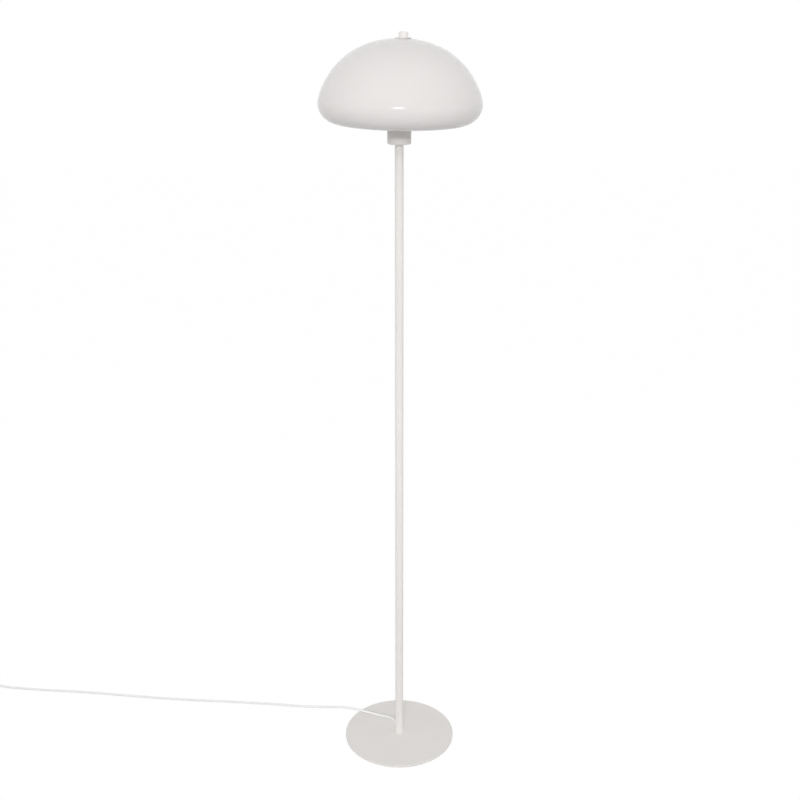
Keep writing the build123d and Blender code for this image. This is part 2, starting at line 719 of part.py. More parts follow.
def coil_path():
    """The whole coil as one line: a straight end, biarcs of a part turn each, and a straight end."""
    last = 2 * COIL_TURNS_A_LAYER + 0.5
    knots = [step / KNOTS_A_TURN for step in range(int(last * KNOTS_A_TURN) + 1)]
    points = [coil_point(turn) for turn in knots]
    directions = [coil_direction(turn, last) for turn in knots]
    edges = [Line(points[0] - directions[0] * CORD_D, points[0])]
    for index in range(len(knots) - 1):
        edges += biarc(points[index], directions[index], points[index + 1], directions[index + 1])
    edges.append(Line(points[-1], points[-1] + directions[-1] * CORD_D))
    return Wire([edge for line in edges for edge in line.edges()])


def least_gap(path):
    """The least gap between a coil's turns, measured on points along its middle line."""
    count = int(path.length / GAP_STEP)
    points = [tuple(path.position_at(index / count)) for index in range(count + 1)]
    apart = int(4 * CORD_D / GAP_STEP)
    spacing = min(
        hypot(here[0] - there[0], here[1] - there[1], here[2] - there[2])
        for index, here in enumerate(points)
        for there in points[index + apart:]
    )
    return spacing - CORD_D


def make_cord_coil():
    path = coil_path()
    coil = round_rod(path, CORD_D)
    print(f"cord_coil: length {path.length:.0f}, volume ratio {fullness(coil, path):.4f}")
    print(f"cord_coil: least gap {least_gap(path):.2f}")
    return coil


def make_sleeve():
    """A tapered strain relief on the cord. Its root is at the origin and its tip points along +Z."""
    root = CORD_D + 2 * SLEEVE_ROOT_WALL
    tip = CORD_D + 2 * SLEEVE_TIP_WALL
    sleeve = Cone(root / 2, tip / 2, SLEEVE_L, align=UPWARD)
    for ring in range(1, SLEEVE_RINGS + 1):
        low = SLEEVE_L - 2 * ring * SLEEVE_RING_W
        outside = tip + (root - tip) * (SLEEVE_L - low) / SLEEVE_L
        sleeve -= pipe(2 * root, outside - 2 * SLEEVE_RING_DEPTH, low, low + SLEEVE_RING_W)
    return sleeve - disc(CORD_D + 2 * CORD_FIT, 0, SLEEVE_L)


# ------------------------------------------------------------------------------------ foot switch
SWITCH = Pos(SWITCH_X, SWITCH_Y, 0)
BUTTON_FLANGE_TOP = COVER_TOP - SWITCH_WALL - REST_GAP
BUTTON_TOP = COVER_TOP + BUTTON_RISE
BLOCK_TOP = SWITCH_WALL + BLOCK_H
SPRING_TOP = BUTTON_TOP - BUTTON_WALL


def oval(inset, low, high):
    """An upright oval solid, with the switch's outline drawn in by an inset."""
    sketch = Ellipse(SWITCH_L / 2 - inset, SWITCH_W / 2 - inset)
    return Pos(0, 0, low) * extrude(sketch, high - low)


def cord_way(diameter, low, high):
    """A cylinder along the switch's cord, between two distances from its middle, at both ends."""
    line = Pos(0, 0, SWITCH_CORD_Z) * Rot(0, 90, 0)
    return line * (disc(diameter, low, high) + disc(diameter, -high, -low))


def at_screws(shape):
    """A copy of a shape at each of the switch's two screws."""
    half = SWITCH_SCREW_SPACING / 2
    return [Pos(0, side * half, 0) * shape for side in (-1, 1)]


def make_switch_tray():
    tray = oval(0, 0, SWITCH_TRAY_H)
    tray = fillet(edges_at(tray, 0), SWITCH_FOOT_R)
    tray -= oval(SWITCH_WALL, SWITCH_WALL, SWITCH_TRAY_H)
    tray -= sleeve_seats()
    for screw in at_screws(switch_screw(BOLT_FIT)):
        tray -= screw
    return tray


def sleeve_seats():
    """The holes that the two sleeves fill in the switch's ends."""
    root = SWITCH_L / 2 - SLEEVE_GRIP
    solid_root = CORD_D + 2 * SLEEVE_ROOT_WALL
    return cord_way(solid_root + 2 * CORD_FIT, root - CORD_FIT, SWITCH_L / 2 + SLEEVE_GRIP)


def switch_screw(extra):
    """One of the switch's screws, or with extra all round, the hole for it."""
    head = SWITCH_SCREW_HEAD_D + 2 * extra
    return countersunk(SWITCH_SCREW_D + 2 * extra, head, 0, SWITCH_SCREW_L + extra)


def make_switch_cover():
    """The domed cover, with a hole for the button and a boss for each screw."""
    cover = oval(0, SWITCH_TRAY_H, COVER_TOP)
    cover = fillet(edges_at(cover, COVER_TOP), SWITCH_CROWN_R)
    inside = oval(SWITCH_WALL, SWITCH_TRAY_H, COVER_TOP - SWITCH_WALL)
    cover -= fillet(edges_at(inside, COVER_TOP - SWITCH_WALL), SWITCH_CROWN_R - SWITCH_WALL)
    for boss in at_screws(disc(SWITCH_BOSS_D, SWITCH_TRAY_H, COVER_TOP - SWITCH_WALL)):
        cover += boss
    for screw in at_screws(switch_screw(THREAD_FIT)):
        cover -= screw
    cover -= disc(BUTTON_D + 2 * GUIDE_FIT, SWITCH_TRAY_H, COVER_TOP)
    return cover - sleeve_seats()


def make_switch_button():
    """The round button, hollow below, with a flange that keeps it in the cover."""
    button = disc(BUTTON_D, BUTTON_FLANGE_TOP - BUTTON_FLANGE_T - BUTTON_SKIRT, BUTTON_TOP)
    button = fillet(rims(button, BUTTON_TOP), BUTTON_EDGE_R)
    button += disc(BUTTON_FLANGE_D, BUTTON_FLANGE_TOP - BUTTON_FLANGE_T, BUTTON_FLANGE_TOP)
    return button - disc(BUTTON_D - 2 * BUTTON_WALL, 0, SPRING_TOP)


def make_switch_plunger():
    return disc(PLUNGER_D, BLOCK_TOP - PLUNGER_GRIP, SPRING_TOP)


def make_switch_spring():
    """The button's return spring, round the plunger."""
    low = BLOCK_TOP + SPRING_WIRE_D / 2 + SPRING_END_GAP
    high = SPRING_TOP - SPRING_WIRE_D / 2 - SPRING_END_GAP
    path = Helix((high - low) / SPRING_TURNS, high - low, SPRING_D / 2, center=(0, 0, low))
    start = Plane(origin=path @ 0, z_dir=path % 0)
    return sweep(start * Circle(SPRING_WIRE_D / 2), path=path, is_frenet=True)


def make_switch_block():
    """The closed contact block, with the plunger's way in at its top."""
    block = Pos(0, 0, SWITCH_WALL) * Box(BLOCK_L, BLOCK_W, BLOCK_H, align=UPWARD)
    way_in = BLOCK_TOP - PLUNGER_GRIP - BUTTON_TRAVEL - 2 * REST_GAP
    return block - disc(PLUNGER_D + 2 * GUIDE_FIT, way_in, BLOCK_TOP)


def make_switch_terminals():
    """A brass terminal at each end of the block, which the cord's cores are screwed into."""
    place = BLOCK_L / 2 + TERMINAL_BLOCK / 2
    low = SWITCH_CORD_Z - TERMINAL_BLOCK / 2
    cube = Pos(0, 0, low) * Box(TERMINAL_BLOCK, TERMINAL_BLOCK, TERMINAL_BLOCK, align=UPWARD)
    return Compound([Pos(side * place, 0, 0) * cube for side in (-1, 1)])


def make_switch_leads():
    """The cord's two ends in the switch, from each sleeve's tip in to the terminals."""
    near = BLOCK_L / 2 + TERMINAL_BLOCK
    far = SWITCH_L / 2 - SLEEVE_GRIP + SLEEVE_L
    return Compound(list(cord_way(CORD_D, near, far).solids()))


def make_switch_clamps():
    """The two bars that hold the cord's ends down in the tray."""
    place = SWITCH_L / 2 - SLEEVE_GRIP - CLAMP_L
    low = SWITCH_CORD_Z + CORD_D / 2
    bar = Pos(0, 0, low) * Box(CLAMP_L, CLAMP_W, CLAMP_T, align=UPWARD)
    leg = Pos(0, 0, SWITCH_WALL) * Box(CLAMP_L, CLAMP_T, low - SWITCH_WALL, align=UPWARD)
    for side in (-1, 1):
        bar += Pos(0, side * (CLAMP_W - CLAMP_T) / 2, 0) * leg
    return Compound([Pos(side * place, 0, 0) * bar for side in (-1, 1)])


def make_switch_sleeves():
    root = SWITCH_L / 2 - SLEEVE_GRIP
    right = Pos(root, 0, SWITCH_CORD_Z) * Rot(0, 90, 0) * make_sleeve()
    return Compound([right, Rot(0, 0, 180) * right])


# --------------------------------------------------------------------------------------------- plug
PLUG = Pos(PLUG_X, PLUG_Y, PLUG_CORD_Z) * Rot(0, 90, 0) * Rot(0, 0, 90)


def pin_places():
    """Where the plug's two pins stand, side by side across its width."""
    return [Pos(side * PIN_SPACING / 2, 0, 0) for side in (-1, 1)]


def make_plug_body():
    """The flat two-pin plug: a straight nose that narrows back to the sleeve."""
    nose = RectangleRounded(PLUG_W, PLUG_T, PLUG_CORNER_R)
    back = RectangleRounded(PLUG_BACK_W, PLUG_BACK_T, PLUG_CORNER_R)
    shoulder = PLUG_L - PLUG_NOSE_L
    body = loft([back, Pos(0, 0, shoulder) * nose])
    body += Pos(0, 0, shoulder) * extrude(nose, PLUG_NOSE_L)
    for place in pin_places():
        body -= place * disc(PIN_D + 2 * TUBE_FIT, PLUG_L - PIN_ROOT, PLUG_L)
    return PLUG * body


def make_plug_pins():
    """The two metal pins, rounded at their tips and thinner inside their plastic sleeves."""
    pin = disc(PIN_D, PLUG_L + PIN_SLEEVE_L, PLUG_L + PIN_L)
    pin = fillet(rims(pin, PLUG_L + PIN_L), PIN_D / 2 - TUBE_FIT)
    pin += disc(PIN_CORE_D, PLUG_L, PLUG_L + PIN_SLEEVE_L) + disc(PIN_D, PLUG_L - PIN_ROOT, PLUG_L)
    return PLUG * Compound([place * pin for place in pin_places()])


def make_plug_pin_sleeves():
    sleeve = pipe(PIN_SLEEVE_D, PIN_CORE_D + 2 * TUBE_FIT, PLUG_L, PLUG_L + PIN_SLEEVE_L)
    return PLUG * Compound([place * sleeve for place in pin_places()])


def make_plug_relief():
    return PLUG * Rot(180, 0, 0) * make_sleeve()


def make_plug_lead():
    """The cord's end inside the plug's sleeve."""
    return PLUG * disc(CORD_D, -SLEEVE_L, 0)


# ------------------------------------------------------------------------------------- whole lamp
LEGS = {side: make_harp_leg(side) for side in (-1, 1)}

PARTS = {
    "base_plate": make_base_plate(),
    "base_pad": make_base_pad(),
    "base_bolt": make_base_bolt(),
    "pole_foot_insert": make_pole_foot_insert(),
    "pole_lower": make_pole_lower(),
    "pole_coupler": make_pole_coupler(),
    "pole_upper": make_pole_upper(),
    "pole_top_insert": make_pole_top_insert(),
    "cord_bushing": make_cord_bushing(),
    "pole_cable": make_pole_cable(),
    "nipple": make_nipple(),
    "collar": make_collar(),
    "cup": make_cup(),
    "cup_nut": make_cup_nut(),
    "holder_cap": make_holder_cap(),
    "holder_body": make_holder_body(),
    "holder_core": make_holder_core(),
    "holder_terminals": make_holder_terminals(),
    "screw_shell": make_screw_shell(),
    "centre_contact": make_centre_contact(),
    "retaining_ring": make_retaining_ring(),
    "bulb_contact": make_bulb_contact(),
    "bulb_cap": make_bulb_cap(),
    "bulb_globe": make_bulb_globe(),
    "harp_ring": make_harp_ring(),
    "harp_leg_left": LEGS[-1],
    "harp_leg_right": LEGS[1],
    "harp_hub": make_harp_hub(LEGS.values()),
    "seat_washer": make_seat_washer(),
    "seat_pad": make_seat_pad(),
    "shade": CROWN * Pos(-SHADE_SLIP, 0, 0) * make_shade(),
    "finial_washer": make_finial_washer(),
    "finial": make_finial(),
    "cord_run": make_cord("cord_run", FLOOR_ROUTE),
    "switch_tray": SWITCH * make_switch_tray(),
    "switch_cover": SWITCH * make_switch_cover(),
    "switch_button": SWITCH * make_switch_button(),
    "switch_plunger": SWITCH * make_switch_plunger(),
    "switch_spring": SWITCH * make_switch_spring(),
    "switch_block": SWITCH * make_switch_block(),
    "switch_terminals": SWITCH * make_switch_terminals(),
    "switch_leads": SWITCH * make_switch_leads(),
    "switch_clamps": SWITCH * make_switch_clamps(),
    "switch_screws": SWITCH * Compound(at_screws(switch_screw(0))),
    "switch_sleeves": SWITCH * make_switch_sleeves(),
    "cord_link": make_cord("cord_link", LINK_ROUTE),
    "cord_coil": make_cord_coil(),
    "cord_tail": make_cord("cord_tail", TAIL_ROUTE),
    "plug_relief": make_plug_relief(),
    "plug_lead": make_plug_lead(),
    "plug_body": make_plug_body(),
    "plug_pins": make_plug_pins(),
    "plug_pin_sleeves": make_plug_pin_sleeves(),
}

os.makedirs("parts", exist_ok=True)
for node, shape in PARTS.items():
    export_step(shape, f"parts/{node}.step")
print(f"crown radius {CROWN_R:.1f}, flank radius {FLANK_R:.1f}, {len(PARTS)} parts")
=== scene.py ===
import json
from math import asin, cos, degrees, pi, radians, sin, sqrt

import bmesh
import bpy
import numpy as np
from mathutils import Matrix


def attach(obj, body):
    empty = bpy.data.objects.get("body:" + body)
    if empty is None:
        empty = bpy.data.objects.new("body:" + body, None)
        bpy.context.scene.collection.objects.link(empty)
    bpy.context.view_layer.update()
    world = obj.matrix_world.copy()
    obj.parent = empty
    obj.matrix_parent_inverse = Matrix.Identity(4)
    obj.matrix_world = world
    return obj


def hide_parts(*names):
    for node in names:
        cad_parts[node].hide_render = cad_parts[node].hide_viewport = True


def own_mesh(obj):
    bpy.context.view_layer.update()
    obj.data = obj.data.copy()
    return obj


# A mushroom floor lamp: an opal dome on a slim white pole with a flat round base.
# Shapes are worked out in millimetres, in the lamp's own frame, and put into the meshes in metres.
# X is to the right, Y to the back and Z up from the floor, and the pole stands on the Z axis.
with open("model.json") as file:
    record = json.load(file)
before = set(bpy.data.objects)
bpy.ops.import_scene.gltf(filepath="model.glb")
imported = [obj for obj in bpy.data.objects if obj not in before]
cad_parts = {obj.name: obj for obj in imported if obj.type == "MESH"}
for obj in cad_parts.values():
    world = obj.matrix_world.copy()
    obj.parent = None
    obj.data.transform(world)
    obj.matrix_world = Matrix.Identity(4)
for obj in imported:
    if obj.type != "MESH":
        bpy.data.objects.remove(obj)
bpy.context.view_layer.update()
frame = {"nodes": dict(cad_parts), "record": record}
MM = 0.001
TURN = 2 * pi
# Points nearer than these, in metres, are one point: in a skin, in a skin's slivers and in a CAD mesh.
SKIN_WELD, SLIVER_WELD, CAD_WELD = 1e-7, 1e-8, 1e-6

# ------------------------------------------------------------------------------------------ sizes
# Names in _R are radii, and names in _H, _L and _T are heights, lengths and thicknesses. The fits are
# radial, and REST_GAP is left between two pieces where one rests on the other and can be lifted off.
BOLT_FIT, THREAD_FIT, REST_GAP = 0.15, 0.05, 0.05
PAD_INSET, PAD_T = 4.0, 1.0
BASE_R, BASE_T = 125.0, 4.5
BOLT_R, BOLT_HEAD_R = 4.0, 7.5
POLE_R, POLE_WALL = 9.0, 1.2
POLE_LOWER_L, POLE_UPPER_L = 685.0, 685.0
NIPPLE_R, NUT_H = 5.0, 3.0
COLLAR_R, COLLAR_H = 8.0, 4.5
CUP_R, CUP_H, CUP_WALL = 24.25, 58.0, 1.2

HOLDER_R, HOLDER_WALL, HOLDER_CAP_H = 19.3, 2.5, 18.0
RETAINER_R, RETAINER_BORE_R, RETAINER_H = 25.0, 19.35, 6.0
HOLDER_ABOVE_RETAINER = 1.5
CORE_H, CONTACT_H = 14.0, 2.5
SHELL_R, SHELL_H, SHELL_WALL = 13.55, 20.0, 0.4
SCREW_PITCH, SCREW_DEPTH = 3.629, 1.0
CAP_R, CAP_H = 13.2, 26.0
GLOBE_R, NECK_R, GLASS_WALL = 30.0, 30.0, 1.0

HARP_RING_R, HARP_BORE_R, HARP_RING_T, WIRE_R = 33.0, 19.45, 2.0, 2.0
HUB_R, HUB_H = 7.0, 10.0
STUD_R, STUD_PITCH, STUD_DEPTH, STUD_TIP_GAP = 5.0, 1.0, 0.45, 0.6
SEAT_R, SEAT_T, SEAT_PAD_R, SEAT_PAD_T = 18.0, 1.5, 17.0, 1.0
WASHER_R, WASHER_T = 16.0, 1.5
FINIAL_R, FINIAL_H, FINIAL_BORE_H = 9.4, 10.7, 9.0
SHADE_R, SHADE_RISE, SHADE_DROP, SHADE_WALL, SHADE_HOLE_R = 165.5, 150.0, 127.0, 3.0, 9.8
CROWN_ANGLE, FLANK_ANGLE, ROLL_R = 16.0, 74.5, 40.0
HARP_SHIFT, SHADE_TILT, SHADE_SLIP = 8.4, 0.8, 4.7

CORD_D, CORD_LIFT, CORD_FIT = 5.0, 0.1, 0.05
EXIT_H, EXIT_ANGLE = 18.0, 122.0
COIL_CENTRE, COIL_R, COIL_STEP, COIL_TURNS = (-1196.0, 226.4), 39.1, 5.6, 6.5
SWITCH_PLACE = np.array([-1084.0, 188.0, 0])
SWITCH_LONG, SWITCH_WIDE = 42.0, 27.0
SWITCH_SEAM, SWITCH_TOP, SWITCH_WALL, BUTTON_HOLE_R = 10.0, 24.0, 2.0, 12.1
SLEEVE_L, SLEEVE_R, SLEEVE_TAPER = 24.0, 4.7, 1.3
SLEEVE_OFFSET, SLEEVE_Z = 37.0, 7.0
PLUG_PLACE = np.array([-1131.0, 266.7, 6.85])
PLUG_L, PIN_L, PIN_ROOT, PIN_SLEEVE_L, PIN_OFFSET = 36.0, 19.0, 6.0, 10.0, 9.3

# ----------------------------------------------------------------- levels above the floor, and bores
BASE_TOP = PAD_T + BASE_T
SEAM_Z = BASE_TOP + POLE_LOWER_L
POLE_TOP = SEAM_Z + POLE_UPPER_L
CUP_Z = POLE_TOP + COLLAR_H
CUP_TOP = CUP_Z + CUP_H
HOLDER_Z = CUP_Z + CUP_WALL + NUT_H + HOLDER_CAP_H
SHELL_Z = HOLDER_Z + CORE_H
BULB_Z = SHELL_Z + CONTACT_H + REST_GAP
RETAINER_Z = CUP_TOP + HARP_RING_T
HOLDER_TOP = RETAINER_Z + RETAINER_H + HOLDER_ABOVE_RETAINER
EXIT_Z = BASE_TOP + EXIT_H
FLOOR_CORD_Z = CORD_D / 2 + CORD_LIFT
CORD_HOLE_R = CORD_D / 2 + CORD_FIT
NIPPLE_HOLE_R = NIPPLE_R + BOLT_FIT
STUD_HOLE_R = STUD_R + BOLT_FIT


# -------------------------------------------------------------------------------- camera and light
def camera():
    """The photograph's view: from 2.4 m in front and 1.7 m up, 16 degrees down."""
    data = bpy.data.cameras.new("camera")
    data.lens, data.sensor_width = 52.48, 36
    data.shift_x, data.shift_y = 0.00095, -0.10214
    data.clip_start, data.clip_end = 0.05, 50
    seen = bpy.data.objects.new("camera", data)
    seen.location = (0, -2.3616, 1.6906)
    seen.rotation_euler = (radians(90 - 16), 0, 0)
    bpy.context.scene.collection.objects.link(seen)
    bpy.context.scene.camera = seen


def seen_directly(nodes, links):
    """1 for rays from the camera, from gloss and through glass, and 0 for the rays that light.

    It is the sum of the three kinds of ray, cut off at 1.
    """
    path = nodes.new("ShaderNodeLightPath")
    total = path.outputs["Is Camera Ray"]
    for kind in ("Is Glossy Ray", "Is Transmission Ray"):
        either = nodes.new("ShaderNodeMath")
        either.operation = "ADD"
        either.use_clamp = True
        links.new(total, either.inputs[0])
        links.new(path.outputs[kind], either.inputs[1])
        total = either.outputs[0]
    return total


def pale_sky():
    """A world that is white to the eye. Its light falls from 0.88 at the horizon to 0.53 overhead.

    The fall is even with the Z of a ray's direction, up to a Z of 0.9.
    """
    world = bpy.data.worlds.new("studio")
    bpy.context.scene.world = world
    world.use_nodes = True
    nodes, links = world.node_tree.nodes, world.node_tree.links
    background = nodes["Background"]
    background.inputs["Color"].default_value = (1, 1, 1, 1)
    way = nodes.new("ShaderNodeTexCoord")
    split = nodes.new("ShaderNodeSeparateXYZ")
    links.new(way.outputs["Generated"], split.inputs[0])
    light = nodes.new("ShaderNodeMapRange")
    light.inputs["From Max"].default_value = 0.9
    light.inputs["To Min"].default_value = 0.88
    light.inputs["To Max"].default_value = 0.53
    links.new(split.outputs["Z"], light.inputs["Value"])
    level = nodes.new("ShaderNodeMapRange")
    level.inputs["To Max"].default_value = 1.0
    links.new(seen_directly(nodes, links), level.inputs["Value"])
    links.new(light.outputs[0], level.inputs["To Min"])
    links.new(level.outputs[0], background.inputs["Strength"])


def area_lamps():
    """A softbox above the camera and four weak fills, each an ellipse 0.3 as high as it is wide.

    Places are in metres, turns and spreads in degrees and powers in watts. Only the softbox shines in gloss.
    """
    for name, place, turn, width, power, spread, shines in (
        ("softbox", (-0.2, -5.0, 2.72), (76, 0, -2), 1.2, 68, 180, True),
        ("high_fill", (0, -3.0, 2.9), (58, 0, 0), 1.2, 14.0, 180, False),
        ("low_fill", (0, -3.0, 0.55), (90, 0, 0), 0.8, 0.26, 36, False),
        ("left_fill", (-3.2, -0.6, 0.55), (90, 0, -80), 1.2, 0.5, 50, False),
        ("right_fill", (3.2, -0.6, 0.55), (90, 0, 80), 1.2, 0.5, 50, False),
    ):
        light = bpy.data.lights.new(name, "AREA")
        light.shape = "ELLIPSE"
        light.size, light.size_y = width, width * 0.3
        light.energy, light.spread = power, radians(spread)
        lamp = bpy.data.objects.new(name, light)
        lamp.location = place
        lamp.rotation_euler = [radians(angle) for angle in turn]
        lamp.visible_glossy = shines
        bpy.context.scene.collection.objects.link(lamp)


def white_floor():
    """A floor 18 m square that is 0.95 bare white to the eye, and a matte grey to the rays that light."""
    half = 9
    corners = [(-half, -half, 0), (half, -half, 0), (half, half, 0), (-half, half, 0)]
    mesh = bpy.data.meshes.new("floor")
    mesh.from_pydata(corners, [], [(0, 1, 2, 3)])
    floor = bpy.data.objects.new("floor", mesh)
    bpy.context.scene.collection.objects.link(floor)
    pale = bpy.data.materials.new("pale_floor")
    pale.use_nodes = True
    nodes, links = pale.node_tree.nodes, pale.node_tree.links
    matte = nodes["Principled BSDF"]
    matte.inputs["Base Color"].default_value = (0.5, 0.5, 0.5, 1)
    matte.inputs["Roughness"].default_value = 0.9
    matte.inputs["Specular IOR Level"].default_value = 0.1
    white = nodes.new("ShaderNodeEmission")
    white.inputs["Strength"].default_value = 1.03
    share = nodes.new("ShaderNodeMath")
    share.operation = "MULTIPLY"
    share.inputs[1].default_value = 0.95
    blend = nodes.new("ShaderNodeMixShader")
    links.new(seen_directly(nodes, links), share.inputs[0])
    links.new(share.outputs[0], blend.inputs["Fac"])
    links.new(matte.outputs[0], blend.inputs[1])
    links.new(white.outputs[0], blend.inputs[2])
    links.new(blend.outputs[0], nodes["Material Output"].inputs["Surface"])
    floor.data.materials.append(pale)


# --------------------------------------------------------------------------------------- finishes
def finish(name, colour, roughness, metal=0.0, grain=900, depth=0.02, vary=0.04, **more):
    """A finish with a fine grain: noise on object coordinates shades the colour, the gloss and the relief.

    The colour goes from 1 - vary to 1 + vary of itself with a noise 60 times coarser than the grain, the
    roughness from 0.85 to 1.15 of itself with the grain, and depth is the grain's relief in millimetres.
    """
    made = bpy.data.materials.new(name)
    made.use_nodes = True
    nodes, links = made.node_tree.nodes, made.node_tree.links
    shader = nodes["Principled BSDF"]
    shader.inputs["Metallic"].default_value = metal
    for socket, value in more.items():
        shader.inputs[socket.replace("_", " ")].default_value = value
    where = nodes.new("ShaderNodeTexCoord")

    def noise(scale, detail):
        cloud = nodes.new("ShaderNodeTexNoise")
        cloud.inputs["Scale"].default_value = scale
        cloud.inputs["Detail"].default_value = detail
        links.new(where.outputs["Object"], cloud.inputs["Vector"])
        return cloud.outputs["Fac"]

    fine, broad = noise(grain, 3), noise(grain / 60, 2)
    shades = nodes.new("ShaderNodeMix")
    shades.data_type = "RGBA"
    shades.inputs["A"].default_value = (*[c * (1 - vary) for c in colour], 1)
    shades.inputs["B"].default_value = (*[min(1, c * (1 + vary)) for c in colour], 1)
    links.new(broad, shades.inputs["Factor"])
    links.new(shades.outputs["Result"], shader.inputs["Base Color"])
    gloss = nodes.new("ShaderNodeMapRange")
    gloss.inputs["To Min"].default_value = roughness * 0.85
    gloss.inputs["To Max"].default_value = roughness * 1.15
    links.new(fine, gloss.inputs["Value"])
    links.new(gloss.outputs[0], shader.inputs["Roughness"])
    relief = nodes.new("ShaderNodeBump")
    relief.inputs["Strength"].default_value = 0.5
    relief.inputs["Distance"].default_value = depth * MM
    links.new(fine, relief.inputs["Height"])
    links.new(relief.outputs[0], shader.inputs["Normal"])
    return made


FINISHES = {
    "white_paint": finish("powder_coat", (0.845, 0.82, 0.798), 0.42, grain=1400, depth=0.03, vary=0.02),
    "opal_acrylic": finish("opal_acrylic", (0.815, 0.785, 0.772), 0.14, grain=90, depth=0.02, vary=0.015,
                           Specular_IOR_Level=0.24, Subsurface_Weight=0.7, Subsurface_Scale=0.006,
                           Subsurface_Radius=(1, 0.95, 0.9)),
    "opal_bulb": finish("opal_bulb", (0.85, 0.85, 0.84), 0.3, grain=300, depth=0.005, vary=0.01),
    "zinc_steel": finish("zinc_steel", (0.62, 0.62, 0.63), 0.32, 1.0, grain=700, depth=0.01, vary=0.06),
    "bulb_cap_metal": finish("bright_aluminium", (0.75, 0.75, 0.76), 0.28, 1.0, grain=800, depth=0.01),
    "solder": finish("solder", (0.55, 0.55, 0.56), 0.45, 1.0, grain=500, depth=0.05, vary=0.1),
    "brass": finish("brass", (0.72, 0.53, 0.25), 0.3, 1.0, grain=800, depth=0.01, vary=0.06),
    "foam": finish("foam", (0.05, 0.05, 0.052), 0.9, grain=1100, depth=0.25, vary=0.2),
    "holder_plastic": finish("holder_plastic", (0.78, 0.78, 0.76), 0.4, grain=1200, depth=0.03, vary=0.02),
    "white_pvc": finish("white_pvc", (0.94, 0.94, 0.935), 0.38, grain=1200, depth=0.04, vary=0.03),
    "switch_plastic": finish("switch_plastic", (0.80, 0.79, 0.78), 0.36, grain=1800, depth=0.05, vary=0.02),
    "pin_metal": finish("nickel", (0.70, 0.69, 0.67), 0.2, 1.0, grain=900, depth=0.008),
    "pin_plastic": finish("black_plastic", (0.03, 0.03, 0.03), 0.45, grain=1500, depth=0.03, vary=0.1),
}


# ------------------------------------------------------------------------------------ mesh helpers
def piece(name, grid, body, node, slot, ends_meet=False):
    """A skin over a grid of points: row i to row i+1, and column j to column j+1 and round again.

    Rows that shrink to a point close a pole, and ends_meet joins the last row to the first. Points in one
    place are merged, faces point outwards, and edges sharper than 40 degrees stay sharp.
    """
    rows, columns = grid.shape[:2]
    i = np.arange(rows if ends_meet else rows - 1)[:, None]
    j = np.arange(columns)[None, :]
    here, there = i * columns, (i + 1) % rows * columns
    after = (j + 1) % columns
    faces = np.stack([here + j, here + after, there + after, there + j], -1).reshape(-1, 4)
    mesh = bpy.data.meshes.new(name)
    mesh.from_pydata(grid.reshape(-1, 3) * MM, [], faces.tolist())
    skin = bmesh.new()
    skin.from_mesh(mesh)
    bmesh.ops.remove_doubles(skin, verts=skin.verts, dist=SKIN_WELD)
    bmesh.ops.dissolve_degenerate(skin, edges=skin.edges, dist=SLIVER_WELD)
    if skin.calc_volume(signed=True) < 0:
        bmesh.ops.reverse_faces(skin, faces=skin.faces)
    skin.to_mesh(mesh)
    skin.free()
    mesh.shade_smooth()
    mesh.set_sharp_from_angle(angle=radians(40))
    made = bpy.data.objects.new(name, mesh)
    bpy.context.scene.collection.objects.link(made)
    weighted = made.modifiers.new("weighted", "WEIGHTED_NORMAL")
    weighted.keep_sharp = True
    dress(made, body, node, slot)
    return made


def dress(made, body, node, slot):
    """The body that a piece moves with, the node that it stands for and its finish."""
    made.data.materials.append(FINISHES[slot])
    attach(made, body)
    if node:
        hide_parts(node)


def angles_round(steps):
    """Even angles round a full turn, without the last, which is the first again."""
    return np.linspace(0, TURN, steps, endpoint=False)


def rounded(corners, closed, steps=6):
    """A line through corners (x, y, radius), each corner an arc that touches both its sides.

    The arc's centre lies radius / sin(half angle) from the corner, on the line that halves the angle. A
    corner without a radius is sharp, and so are both ends of a line that isn't closed.
    """
    corners = np.array([(*corner, 0)[:3] for corner in corners], float)
    line = []
    for index, (x, y, radius) in enumerate(corners):
        here = np.array([x, y])
        if radius == 0 or (not closed and index in (0, len(corners) - 1)):
            line.append(here[None])
            continue
        back = corners[index - 1, :2] - here
        ahead = corners[(index + 1) % len(corners), :2] - here
        back, ahead = back / np.linalg.norm(back), ahead / np.linalg.norm(ahead)
        half = np.arccos(np.clip(back @ ahead, -1, 1)) / 2
        centre = here + (back + ahead) / np.linalg.norm(back + ahead) * radius / sin(half)
        start = here + back * radius / np.tan(half) - centre
        end = here + ahead * radius / np.tan(half) - centre
        share = np.linspace(0, 1, steps + 1)[:, None]
        sweep = pi - 2 * half
        line.append(centre + (start * np.sin((1 - share) * sweep) + end * np.sin(share * sweep)) / sin(sweep))
    return np.concatenate(line)


def arc(centre, radius, start, end, steps):
    """Points on an arc, at centre + radius (cos a, sin a) for angles in degrees."""
    a = np.radians(np.linspace(start, end, steps + 1))
    return np.stack([centre[0] + radius * np.cos(a), centre[1] + radius * np.sin(a)], -1)


def turned(profile, steps=96):
    """A profile of radii r and levels z, turned about Z: (r cos t, r sin t, z)."""
    t = angles_round(steps)
    r, z = profile[:, 0, None], profile[:, 1, None]
    return np.stack([r * np.cos(t), r * np.sin(t), z + 0 * t], -1)


def thread(low, high, crest, depth, pitch, steps=96):
    """A round thread turned about Z: r = crest - depth share (1 - cos(TURN z / pitch - t)) / 2.

    The share is 1, and falls evenly to 0 over the 0.8 of a pitch next to each end. A pitch has 14 rows.
    """
    z = np.append(np.arange(low, high, pitch / 14), high)[:, None]
    t = angles_round(steps)[None, :]
    share = np.clip(np.minimum(z - low, high - z) / (0.8 * pitch), 0, 1)
    r = crest - depth * share * (1 - np.cos(TURN * z / pitch - t)) / 2
    return np.stack([r * np.cos(t), r * np.sin(t), z + 0 * t], -1)


